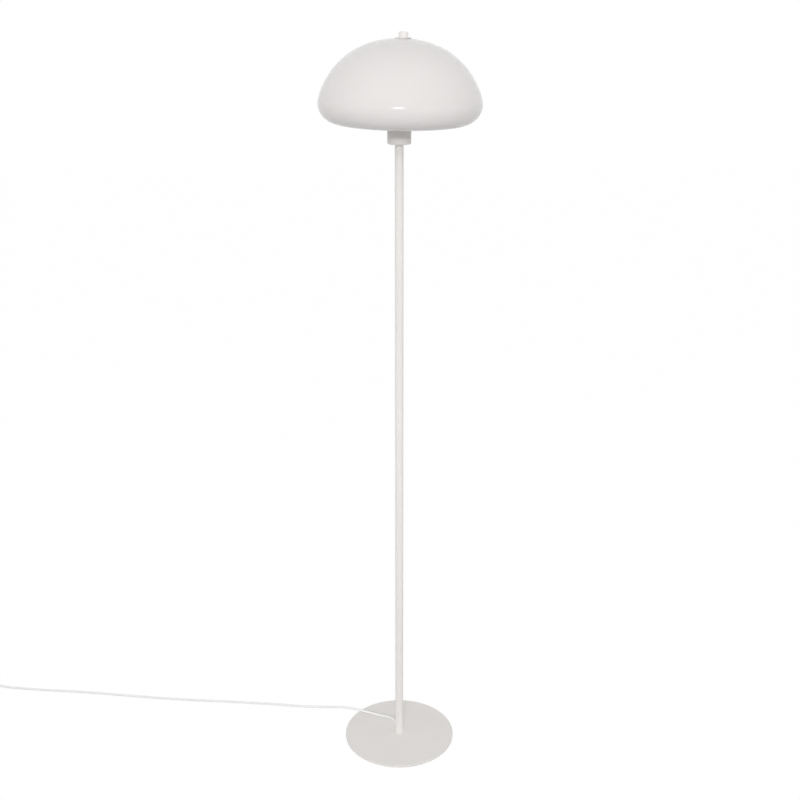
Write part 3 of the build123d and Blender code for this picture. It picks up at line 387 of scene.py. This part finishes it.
def stood(grid, place, axis):
    """A grid whose Z axis is laid along another axis, from a place: place + x u + y v + z axis."""
    u = np.cross([0, 1, 0] if abs(axis[1]) < 0.9 else [0, 0, 1], axis)
    u = u / np.linalg.norm(u)
    v = np.cross(axis, u)
    return place + grid[..., :1] * u + grid[..., 1:2] * v + grid[..., 2:] * np.asarray(axis)


def rod(path, radius, side, steps=16):
    """A round rod along a line of points: path + radius (side cos t + across sin t), with closed ends.

    Side starts as any direction off the path, and is made square to it, as across is to both.
    """
    along = np.gradient(path, axis=0)
    along /= np.linalg.norm(along, axis=1, keepdims=True)
    across = np.cross(along, side)
    across /= np.linalg.norm(across, axis=1, keepdims=True)
    side = np.cross(across, along)
    t = angles_round(steps)[None, :, None]
    skin = path[:, None] + radius * (side[:, None] * np.cos(t) + across[:, None] * np.sin(t))
    first = np.repeat(path[:1, None], steps, 1)
    last = np.repeat(path[-1:, None], steps, 1)
    return np.concatenate([first, skin, last])


# ------------------------------------------------------------------------------------------- cords
# Routes are chosen point by point, as the cord lies in the photograph and past its edge.
FLOOR_ROUTE = [
    (-5.564, 8.905, 23.5),
    (-12.718, 20.353, 23.5),
    (-25.0, 38.5, 19.0),
    (-43.0, 54.0, 11.1),
    (-79.0, 74.0, 8.7),
    (-126.0, 91.0, 8.9),
    (-182.0, 101.5, 2.6),
    (-232.0, 102.8, 2.6),
    (-298.0, 111.6, 2.6),
    (-360.0, 117.8, 2.6),
    (-428.0, 123.6, 2.6),
    (-490.0, 128.3, 2.6),
    (-556.0, 134.2, 2.6),
    (-618.0, 141.0, 2.6),
    (-686.0, 150.2, 2.6),
    (-748.0, 159.1, 2.6),
    (-814.0, 166.0, 2.6),
    (-872.0, 170.7, 2.6),
    (-936.0, 177.6, 2.6),
    (-988.0, 184.9, 2.8),
    (-1005.0, 188.0, 7.0),
    (-1023.0, 188.0, 7.0),
    (-1062.0, 188.0, 7.0),
]
LINK_ROUTE = [(-1106.0, 188.0, 7.0), (-1145.0, 188.0, 7.0), (-1155.0, 188.0, 7.0), (-1171.0, 187.3, 2.6)]
TAIL_ROUTE = [(-1182.0, 265.5, 8.2), (-1165.0, 266.7, 6.85), (-1155.0, 266.7, 6.85)]


def coil_turns(points_a_turn=18):
    """The coil: the angle falls steadily, and the radius shrinks by a step a turn to half way and grows back.

    There the spiral reverses, and over half a turn the level rises by step (1 - cos(pi share)) / 2.
    """
    middle = COIL_TURNS / 2
    turn = np.linspace(0, COIL_TURNS, round(COIL_TURNS * points_a_turn) + 1)
    radius = COIL_R - COIL_STEP * (middle - abs(turn - middle))
    share = np.clip((turn - middle + 0.25) / 0.5, 0, 1)
    level = FLOOR_CORD_Z + COIL_STEP * (1 - np.cos(pi * share)) / 2
    angle = -pi / 2 - TURN * turn
    x, y = COIL_CENTRE
    return np.stack([x + radius * np.cos(angle), y + radius * np.sin(angle), level], -1)


def cord(name, points, nodes):
    """A free cord: a round tube, CORD_D thick, on a B-spline of order 3 whose control points are the route's.

    The spline starts and ends on the route's first and last point, and passes close by the others.
    """
    points = np.array(points, float) * MM
    curve = bpy.data.curves.new(name, "CURVE")
    curve.dimensions = "3D"
    line = curve.splines.new("NURBS")
    line.points.add(len(points) - 1)
    line.points.foreach_set("co", np.column_stack([points, np.ones(len(points))]).ravel())
    line.order_u = 3
    line.use_endpoint_u = True
    line.resolution_u = 10
    curve.bevel_depth = CORD_D / 2 * MM
    curve.bevel_resolution = 4
    curve.use_fill_caps = True
    made = bpy.data.objects.new(name, curve)
    bpy.context.scene.collection.objects.link(made)
    dress(made, "stand", None, "white_pvc")
    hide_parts(*nodes)
    return made


# ------------------------------------------------------------------------------- base, pole and cup
def base():
    """The plate and its pad, profiles turned about Z. The bolt's hole widens to its sink at 45 degrees."""
    hole_r, sink_r = BOLT_R + BOLT_FIT, BOLT_HEAD_R + BOLT_FIT
    plate = rounded([
        (hole_r, BASE_TOP), (BASE_R, BASE_TOP, 1.0), (BASE_R, PAD_T, 0.4), (sink_r, PAD_T),
        (hole_r, PAD_T + sink_r - hole_r),
    ], True)
    piece("base_disc", turned(plate, 256), "stand", "base_plate", "white_paint", True)
    pad_r = BASE_R - PAD_INSET
    pad = rounded([(0, 0), (pad_r, 0, 0.2), (pad_r, PAD_T, 0.2), (0, PAD_T)], False)
    piece("foam_disc", turned(pad, 192), "stand", "base_pad", "foam")


def pole():
    """Two tubes, walls turned about Z, that meet face to face at the seam."""
    bore_r = POLE_R - POLE_WALL
    for name, node, low, high in (
        ("pole_foot", "pole_lower", BASE_TOP, SEAM_Z),
        ("pole_head", "pole_upper", SEAM_Z, POLE_TOP),
    ):
        wall = [(bore_r, low, 0.2), (POLE_R, low, 0.15), (POLE_R, high, 0.15), (bore_r, high, 0.2)]
        piece(name, turned(rounded(wall, True, 3), 64), "stand", node, "white_paint", True)


def collar_and_cup():
    """A ring and a cup of even wall, profiles turned about Z round the nipple's hole."""
    ring = rounded([
        (NIPPLE_HOLE_R, POLE_TOP), (COLLAR_R, POLE_TOP, 0.3), (COLLAR_R, CUP_Z, 0.3), (NIPPLE_HOLE_R, CUP_Z),
    ], True)
    piece("collar_ring", turned(ring, 64), "stand", "collar", "white_paint", True)
    inside_r, inside_z = CUP_R - CUP_WALL, CUP_Z + CUP_WALL
    cup = rounded([
        (NIPPLE_HOLE_R, CUP_Z, 0.2), (CUP_R, CUP_Z, 2.0), (CUP_R, CUP_TOP, 0.4), (inside_r, CUP_TOP, 0.4),
        (inside_r, inside_z, 0.8), (NIPPLE_HOLE_R, inside_z, 0.2),
    ], True)
    piece("cup_shell", turned(cup, 96), "stand", "cup", "white_paint", True)


def bushing():
    """The bushing in the pole's wall: a stem and a flange turned about the cord's way out.

    Its levels are distances from the pole's axis. The flange's back slopes to sit on the round wall.
    """
    stem_r, flange_r = 3.95, 5.5
    inner_end, flange_edge, outer_end = 6.3, 8.2, 10.5
    profile = rounded([
        (CORD_HOLE_R, inner_end), (stem_r, inner_end, 0.3), (stem_r, POLE_R), (flange_r, flange_edge),
        (flange_r, outer_end, 0.6), (CORD_HOLE_R, outer_end, 0.4),
    ], True)
    way_out = np.array([cos(radians(EXIT_ANGLE)), sin(radians(EXIT_ANGLE)), 0])
    grid = stood(turned(profile, 48), np.array([0, 0, EXIT_Z]), way_out)
    piece("bushing", grid, "stand", "cord_bushing", "white_pvc", True)


# ----------------------------------------------------------------------------------- holder and bulb
def holder_tube():
    """The holder's body, a wall turned about Z."""
    bore_r = HOLDER_R - HOLDER_WALL
    wall = rounded([
        (bore_r, HOLDER_Z), (HOLDER_R, HOLDER_Z), (HOLDER_R, HOLDER_TOP, 0.4), (bore_r, HOLDER_TOP, 0.4),
    ], True)
    piece("holder_tube", turned(wall, 72), "stand", "holder_body", "holder_plastic", True)


def retaining_ring():
    """A ring turned about Z, whose outside is drawn in by 20 flutes: clip(1.6 cos 20t - 0.6) of their depth.

    The flutes start 1.5 mm inside the rim and have their full depth 1 mm further out.
    """
    flutes, flute_depth, top = 20, 1.0, RETAINER_Z + RETAINER_H
    profile = rounded([
        (RETAINER_BORE_R, RETAINER_Z), (RETAINER_R, RETAINER_Z, 0.4), (RETAINER_R, top, 0.8),
        (RETAINER_BORE_R, top, 0.4),
    ], True)
    t = angles_round(320)
    r, z = profile[:, :1], profile[:, 1:]
    outside = np.clip(r - (RETAINER_R - 1.5), 0, 1)
    r = r - outside * flute_depth * np.clip(np.cos(flutes * t) * 1.6 - 0.6, 0, 1)
    ring = np.stack([r * np.cos(t), r * np.sin(t), z + 0 * t], -1)
    piece("retainer", ring, "stand", "retaining_ring", "holder_plastic", True)


def screw_shell():
    """The holder's brass shell: a round thread, and the same moved out by the wall."""
    inner = thread(SHELL_Z, SHELL_Z + SHELL_H, SHELL_R, SCREW_DEPTH, SCREW_PITCH)
    outer = inner.copy()
    outer[..., :2] *= 1 + SHELL_WALL / np.linalg.norm(inner[..., :2], axis=-1, keepdims=True)
    piece("shell_thread", np.concatenate([inner, outer[::-1]]), "stand", "screw_shell", "brass", True)


def bulb_cap():
    """The eyelet, and the cap's tip, thread and rim, turned about Z with levels from the bulb's foot."""
    foot = [0, BULB_Z]
    eyelet_r, eyelet_h, tip_r, thread_low, thread_high = 4.5, 1.6, 8.0, 5.0, 24.0
    eyelet = rounded([(0, 0), (eyelet_r, 0, 0.7), (eyelet_r, eyelet_h, 0.2), (0, eyelet_h)], False) + foot
    piece("eyelet", turned(eyelet, 48), "bulb_carriage", "bulb_contact", "solder")
    tip = rounded([(0, eyelet_h), (tip_r, eyelet_h, 0.5), (CAP_R - 0.2, thread_low)], False) + foot
    screw = thread(BULB_Z + thread_low, BULB_Z + thread_high, CAP_R, SCREW_DEPTH, SCREW_PITCH)
    rim = rounded([(CAP_R, thread_high + 0.5), (CAP_R, CAP_H), (0, CAP_H)], False) + foot
    grid = np.concatenate([turned(tip), screw, turned(rim)])
    piece("screw_cap", grid, "bulb", "bulb_cap", "bulb_cap_metal")


def globe():
    """A ball on a neck, of even wall, turned about Z: a foot, a hollow arc for the neck and the ball's arc.

    The two arcs touch, so their centres are the sum of their radii apart, and the ball's centre is higher
    than the hollow's by the root of that sum squared less the hollow's distance from the axis squared.
    """
    foot_top, neck_top = 28.5, 31.0
    hollow_x, reach = CAP_R + NECK_R, GLOBE_R + NECK_R
    rise = sqrt(reach ** 2 - hollow_x ** 2)
    meet = degrees(asin(rise / reach))

    def side(inset):
        foot = np.array([[CAP_R - inset, CAP_H], [CAP_R - inset, foot_top]])
        neck = arc((hollow_x, neck_top), NECK_R + inset, 180, 180 - meet, 14)
        ball = arc((0, neck_top + rise), GLOBE_R - inset, -meet, 90, 40)
        return np.concatenate([foot, neck, ball[1:]])

    wall = np.concatenate([side(0), side(GLASS_WALL)[::-1]]) + [0, BULB_Z]
    piece("globe", turned(wall), "bulb", "bulb_globe", "opal_bulb", True)


# ------------------------------------------------------------------------------------ harp and crown
def shade_arcs():
    """The centres and radii of the crown's, the flank's and the roll's arcs, which meet smoothly.

    With a and b the slopes where they meet, crown sin a + flank (sin b - sin a) + roll (1 - sin b) is the
    shade's radius, and crown (1 - cos a) + flank (cos a - cos b) + roll cos b is the drop from its top to
    the roll's centre. The two are solved for the crown's and the flank's radii.
    """
    a, b = radians(CROWN_ANGLE), radians(FLANK_ANGLE)
    across = sin(a), sin(b) - sin(a), SHADE_R - ROLL_R * (1 - sin(b))
    down = cos(a) - 1, cos(b) - cos(a), ROLL_R * cos(b) - SHADE_DROP
    scale = across[0] * down[1] - across[1] * down[0]
    crown = (across[2] * down[1] - across[1] * down[2]) / scale
    flank = (across[0] * down[2] - across[2] * down[0]) / scale
    middle = ((crown - flank) * sin(a), (crown - flank) * cos(a) - crown)
    return ((0, -crown), crown), (middle, flank), ((SHADE_R - ROLL_R, -SHADE_DROP), ROLL_R)


def crown_drop(radius, inset):
    """How far below the dome's top the crown's surface, or one drawn in by an inset, lies at a radius.

    The surface is a ball's, so the drop is ball - sqrt((ball - inset)^2 - radius^2).
    """
    ball_r = shade_arcs()[0][1]
    return ball_r - sqrt((ball_r - inset) ** 2 - radius ** 2)


# The crown leans. Its pieces are worked out on its own axis, with levels from the dome's top, to 0.01 mm.
CROWN_PLACE = np.array([HARP_SHIFT, 0, CUP_TOP + SHADE_RISE])
CROWN_AXIS = np.array([sin(radians(SHADE_TILT)), 0, cos(radians(SHADE_TILT))])
WASHER_LEVEL = round(REST_GAP - crown_drop(SHADE_HOLE_R, 0), 2)
FINIAL_LEVEL = WASHER_LEVEL + WASHER_T + REST_GAP
STUD_LEVEL = FINIAL_LEVEL + FINIAL_BORE_H - STUD_TIP_GAP
PAD_LEVEL = round(-crown_drop(SEAT_PAD_R + SHADE_SLIP, SHADE_WALL) - REST_GAP, 2)
HUB_LEVEL = PAD_LEVEL - SEAT_PAD_T - SEAT_T


def harp():
    """The ring on the cup's rim, turned about Z, and two rods on lines bent out, up and in to the hub."""
    ring = rounded([
        (HARP_BORE_R, CUP_TOP), (HARP_RING_R, CUP_TOP, 0.5), (HARP_RING_R, RETAINER_Z, 0.5),
        (HARP_BORE_R, RETAINER_Z),
    ], True)
    piece("harp_plate", turned(ring), "stand", "harp_ring", "zinc_steel", True)
    foot_x, foot_h, belly_x, belly_h, inner_end = 29.5, 14.0, 43.0, 44.0, 4.0
    bend_r, shoulder_r, sunk = 12.0, 24.0, 0.4
    hub_z = CROWN_PLACE[2] + HUB_LEVEL - HUB_H / 2
    for name, node, side in (("harp_left", "harp_leg_left", -1), ("harp_right", "harp_leg_right", 1)):
        bend = rounded([
            (side * foot_x, CUP_TOP - sunk), (side * foot_x, CUP_TOP + foot_h, bend_r),
            (side * belly_x, CUP_TOP + belly_h, bend_r), (side * belly_x, hub_z, shoulder_r),
            (HARP_SHIFT + side * inner_end, hub_z),
        ], False, 16)
        path = np.stack([bend[:, 0], 0 * bend[:, 0], bend[:, 1]], -1)
        piece(name, rod(path, WIRE_R, [0, 1, 0], 20), "stand", node, "zinc_steel")


def hub():
    """The hub and its threaded stud, turned about the crown's axis."""
    low = HUB_LEVEL - HUB_H
    foot = rounded([(0, low), (HUB_R, low, 0.6), (HUB_R, HUB_LEVEL, 0.5), (STUD_R, HUB_LEVEL)], False)
    stud = thread(HUB_LEVEL, STUD_LEVEL, STUD_R, STUD_DEPTH, STUD_PITCH, 64)
    tip = np.array([[STUD_R - 0.6, STUD_LEVEL], [0, STUD_LEVEL]])
    grid = np.concatenate([turned(foot, 64), stud, turned(tip, 64)])
    piece("hub", stood(grid, CROWN_PLACE, CROWN_AXIS), "stand", "harp_hub", "zinc_steel")


def shade():
    """The dome: its three arcs, the same drawn in by the wall, a round lip and the crown's hole.

    The profile is turned about the crown's axis, out of true by the shade's slip in its hole.
    """
    (top, crown_r), (middle, flank_r), (roll, roll_r) = shade_arcs()
    chamfer, lip_r = 0.4, SHADE_WALL / 2

    def side(inset):
        start = 90 - degrees(asin((SHADE_HOLE_R + chamfer) / (crown_r - inset)))
        return np.concatenate([
            arc(top, crown_r - inset, start, 90 - CROWN_ANGLE, 12),
            arc(middle, flank_r - inset, 90 - CROWN_ANGLE, 90 - FLANK_ANGLE, 48)[1:],
            arc(roll, roll_r - inset, 90 - FLANK_ANGLE, -90, 40)[1:],
        ])

    outer, inner = side(0), side(SHADE_WALL)[::-1]
    lip = arc((roll[0], roll[1] - roll_r + lip_r), lip_r, -90, -270, 8)
    hole = np.array([[SHADE_HOLE_R, inner[-1, 1] + chamfer], [SHADE_HOLE_R, outer[0, 1] - chamfer]])
    profile = np.concatenate([outer, lip[1:-1], inner, hole])
    grid = turned(profile, 256) - [SHADE_SLIP, 0, 0]
    piece("dome", stood(grid, CROWN_PLACE, CROWN_AXIS), "stand", "shade", "opal_acrylic", True)


def seat_and_washer():
    """The discs under and over the crown, rings turned about the crown's axis round the stud."""
    for name, node, body, slot, radius, low, height, edge in (
        ("seat_disc", "seat_washer", "stand", "zinc_steel", SEAT_R, HUB_LEVEL, SEAT_T, 0.4),
        ("seat_foam", "seat_pad", "stand", "foam", SEAT_PAD_R, HUB_LEVEL + SEAT_T, SEAT_PAD_T, 0.3),
        ("knob_washer", "finial_washer", "finial_carriage", "white_paint", WASHER_R, WASHER_LEVEL, WASHER_T,
         0.5),
    ):
        high = low + height
        ring = rounded([
            (STUD_HOLE_R, low), (radius, low, 0.1), (radius, high, edge), (STUD_HOLE_R, high),
        ], True)
        piece(name, stood(turned(ring), CROWN_PLACE, CROWN_AXIS), body, node, slot, True)


def knob():
    """The finial: a short cylinder with a blind hole, turned about the crown's axis."""
    low, top, hole_top = FINIAL_LEVEL, FINIAL_LEVEL + FINIAL_H, FINIAL_LEVEL + FINIAL_BORE_H
    hole_r = STUD_R + THREAD_FIT
    profile = rounded([
        (0, top), (FINIAL_R, top, 1.2), (FINIAL_R, low, 0.3), (hole_r, low, 0.3), (hole_r, hole_top),
        (0, hole_top),
    ], False)
    piece("knob", stood(turned(profile), CROWN_PLACE, CROWN_AXIS), "finial_knob", "finial", "white_paint")


# --------------------------------------------------------------------------------------- foot switch
def oval_rings(rings, steps=160):
    """Rings (inset, radius, share, level): the switch's oval drawn in by an inset, mixed with a circle.

    A point is (1 - share) (oval - inset normal) + share radius (cos t, sin t), at its level.
    """
    t = angles_round(steps)
    inset, radius, share, level = (np.array(rings, float)[:, k, None] for k in range(4))
    long, wide = SWITCH_LONG * np.cos(t), SWITCH_WIDE * np.sin(t)
    normal_x, normal_y = SWITCH_WIDE * np.cos(t), SWITCH_LONG * np.sin(t)
    length = np.hypot(normal_x, normal_y)
    x = (1 - share) * (long - inset * normal_x / length) + share * radius * np.cos(t)
    y = (1 - share) * (wide - inset * normal_y / length) + share * radius * np.sin(t)
    return np.stack([x, y, level + 0 * t], -1)


def switch_shell():
    """The switch's tray and cover, walls of oval rings with rounded edges, and the button's round hole."""
    wall, seam, top, hole_r = SWITCH_WALL, SWITCH_SEAM, SWITCH_TOP, BUTTON_HOLE_R
    foot_r, edge_r, groove = 1.5, 7.0, 0.5
    a = np.radians(np.linspace(0, 90, 10))
    foot = [(foot_r * (1 - sin(k)), 0, 0, foot_r * (1 - cos(k))) for k in a]
    tray = [
        (0, 0, 1, 0), (20, 8, 0.5, 0), *foot, (0, 0, 0, seam - groove), (groove, 0, 0, seam),
        (wall, 0, 0, seam), (wall, 0, 0, wall), (0, 0, 1, wall),
    ]
    edge = [(edge_r * (1 - cos(k)), 0, 0, top - edge_r + edge_r * sin(k)) for k in a]
    cover = [
        (groove, 0, 0, seam), (0, 0, 0, seam + groove), *edge, (edge_r, hole_r + 1.1, 0.5, top),
        (0, hole_r + 0.6, 1, top), (0, hole_r + 0.15, 1, top - 0.2), (0, hole_r, 1, top - 0.7),
        (0, hole_r, 1, top - wall), (edge_r, hole_r, 0.5, top - wall), (edge_r, 0, 0, top - wall),
        (wall, 0, 0, top - edge_r), (wall, 0, 0, seam),
    ]
    lower, upper = oval_rings(tray) + SWITCH_PLACE, oval_rings(cover) + SWITCH_PLACE
    return [
        piece("switch_base", lower, "stand", "switch_tray", "switch_plastic"),
        piece("switch_lid", upper, "stand", "switch_cover", "switch_plastic", True),
    ]


def foot_button():
    """The button: a dished top, a skirt and a flange that holds it under the cover, turned about Z."""
    dish, rim, ceiling, foot = 28.0, 28.5, 26.5, 17.85
    dish_r, rim_r, skirt_r, bore_r = 8.5, 9.6, 12.0, 10.0
    flange_r, flange_low, flange_high = 14.0, 20.35, 21.95
    profile = rounded([
        (0, dish), (dish_r, dish, 6), (rim_r, rim, 1.0), (skirt_r, rim, 1.8), (skirt_r, flange_high),
        (flange_r, flange_high, 0.3), (flange_r, flange_low, 0.3), (skirt_r, flange_low),
        (skirt_r, foot, 0.3), (bore_r, foot, 0.3), (bore_r, ceiling, 0.5), (0, ceiling),
    ], False)
    piece("switch_cap", turned(profile) + SWITCH_PLACE, "foot_button", "switch_button", "switch_plastic")


def return_spring():
    """A helix of five turns, (r cos t, r sin t, low + rise t / end), at one length, on a mesh of its own."""
    low, high, helix_r, wire_r, turns = 11.75, 25.75, 5.0, 0.45, 5
    t = np.linspace(0, turns * TURN, 161)
    outward = np.stack([np.cos(t), np.sin(t), 0 * t], -1)
    path = helix_r * outward + SWITCH_PLACE
    path[:, 2] += low + (high - low) * t / t[-1]
    spring = piece("return_spring", rod(path, wire_r, outward, 12), "stand", "switch_spring", "zinc_steel")
    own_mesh(spring)


# -------------------------------------------------------------------------------- sleeves and plug
def sleeve_profile():
    """A strain relief: r = its foot's radius - taper z / length - groove, and a bore for the cord.

    Four grooves, 2.8 mm apart near the tip, are clip(3 sin(TURN (z - 12.8) / 2.8) + 0.5) of their depth.
    """
    first, pitch, last, groove_depth, tip_r = 12.8, 2.8, 23.0, 0.6, 3.1
    z = np.linspace(0, SLEEVE_L, 145)
    groove = groove_depth * np.clip(np.sin(TURN * (z - first) / pitch) * 3 + 0.5, 0, 1)
    groove *= (z > first - 0.2) * (z < last)
    outside = np.stack([SLEEVE_R - SLEEVE_TAPER * z / SLEEVE_L - groove, z], -1)
    return np.concatenate([[[CORD_HOLE_R, 0]], outside, [[tip_r, SLEEVE_L + 0.2], [CORD_HOLE_R, SLEEVE_L]]])


def sleeves():
    """Three strain reliefs turned about the cord: one at each end of the switch and one at the plug."""
    made = []
    for name, node, place, side in (
        ("sleeve_right", "switch_sleeves", SWITCH_PLACE + [SLEEVE_OFFSET, 0, SLEEVE_Z], 1.0),
        ("sleeve_left", None, SWITCH_PLACE + [-SLEEVE_OFFSET, 0, SLEEVE_Z], -1.0),
        ("plug_sleeve", "plug_relief", PLUG_PLACE, -1.0),
    ):
        grid = stood(turned(sleeve_profile(), 48), place, np.array([side, 0, 0]))
        made.append(piece(name, grid, "stand", node, "white_pvc", True))
    return made


def plug_shell():
    """The plug's body: round rectangles along X, narrow at the back, straight in front, its edges rounded.

    A round rectangle is the corner's centre plus corner (cos t, sin t) in each quarter, and the first and
    last shrink to a point. The ribs are cut rib_depth (1 - cos(TURN (x - first_rib) / rib_step)) deep.
    """
    back_w, back_h, front_w, front_h, straight = 16, 11, 35, 13.7, 20
    end = PLUG_L
    ribbed = np.linspace(2, 18, 33)
    along = np.array([0, 0, 0.4, 1.2, *ribbed, 19, straight, 22, 30, 34.6, 35.4, 35.9, end, end])
    shrink = np.interp(along, [0, 0.4, 1.2, 34.6, 35.4, 35.9, end], [1.0, 0.4, 0, 0, 0.2, 0.6, 1.1])
    wide = np.interp(along, [0, straight, end], [back_w, front_w, front_w]) - 2 * shrink
    high = np.interp(along, [0, straight, end], [back_h, front_h, front_h]) - 2 * shrink
    first_rib, last_rib, rib_step, rib_depth = 4, 16, 3, 0.45
    ribs = rib_depth * (1 - np.cos(TURN * (along - first_rib) / rib_step))
    wide -= ribs * (along > first_rib) * (along < last_rib)
    corner = np.minimum(5.2, high / 2 - 0.01)
    spread = np.ones(len(along))
    spread[[0, -1]] = 0
    wide, high, corner = ((size * spread)[:, None] for size in (wide, high, corner))
    steps = 96
    t = angles_round(steps) + TURN / steps / 2
    y = np.sign(np.cos(t)) * (wide / 2 - corner) + corner * np.cos(t)
    z = np.sign(np.sin(t)) * (high / 2 - corner) + corner * np.sin(t)
    grid = np.stack([along[:, None] + 0 * y, y, z], -1) + PLUG_PLACE
    return piece("plug_shell", grid, "stand", "plug_body", "switch_plastic")


def plug_pins():
    """Two pins with a waist under a sleeve and a round end, profiles turned about X."""
    pin_r, waist_r, sleeve_r, sleeve_bore_r = 2.0, 1.5, 1.9, 1.55
    root, sleeve_end, tip = PLUG_L - PIN_ROOT, PLUG_L + PIN_SLEEVE_L, PLUG_L + PIN_L
    pin = rounded([
        (0, root), (pin_r, root), (pin_r, PLUG_L), (waist_r, PLUG_L + 0.2), (waist_r, sleeve_end),
        (pin_r, sleeve_end, 0.1), (pin_r, tip, 1.9), (0, tip),
    ], False)
    sleeve = rounded([
        (sleeve_bore_r, PLUG_L), (sleeve_r, PLUG_L), (sleeve_r, sleeve_end, 0.15),
        (sleeve_bore_r, sleeve_end),
    ], True)
    made = []
    forward = np.array([1.0, 0, 0])
    for name, side, pin_node, sleeve_node in (
        ("pin_left", -1, None, None),
        ("pin_right", 1, "plug_pins", "plug_pin_sleeves"),
    ):
        place = PLUG_PLACE + [0, side * PIN_OFFSET, 0]
        metal = stood(turned(pin, 32), place, forward)
        cover = stood(turned(sleeve, 32), place, forward)
        made.append(piece(name, metal, "stand", pin_node, "pin_metal"))
        made.append(piece(name + "_sleeve", cover, "stand", sleeve_node, "pin_plastic", True))
    return made


# ------------------------------------------------------------------------------------- the whole lamp
def dress_cad_nodes():
    """The CAD's own meshes in their finishes: smooth, welded, and split at edges over 35 degrees."""
    slot_of = {part["node"]: part["material_slot"] for part in frame["record"]["subparts"]}
    for node, shown in frame["nodes"].items():
        shown.data.materials.clear()
        shown.data.materials.append(FINISHES[slot_of[node]])
        if shown.hide_render:
            continue
        shown.data.shade_smooth()
        welded = shown.modifiers.new("weld", "WELD")
        welded.merge_threshold = CAD_WELD
        split = shown.modifiers.new("edges", "EDGE_SPLIT")
        split.split_angle = radians(35)


camera()
pale_sky()
area_lamps()
white_floor()
base()
pole()
collar_and_cup()
bushing()
holder_tube()
retaining_ring()
screw_shell()
bulb_cap()
globe()
harp()
hub()
shade()
seat_and_washer()
knob()
switch_pieces = switch_shell()
foot_button()
return_spring()
sleeve_right, sleeve_left, sleeve_plug = sleeves()
plug_pieces = [plug_shell(), *plug_pins()]
cord("mains_cord", FLOOR_ROUTE, ["cord_run", "switch_leads"])
cord("plug_cord", [*LINK_ROUTE, *coil_turns(), *TAIL_ROUTE],
     ["cord_link", "cord_coil", "cord_tail", "switch_leads"])
dress_cad_nodes()

bpy.context.scene.view_settings.view_transform = "Standard"
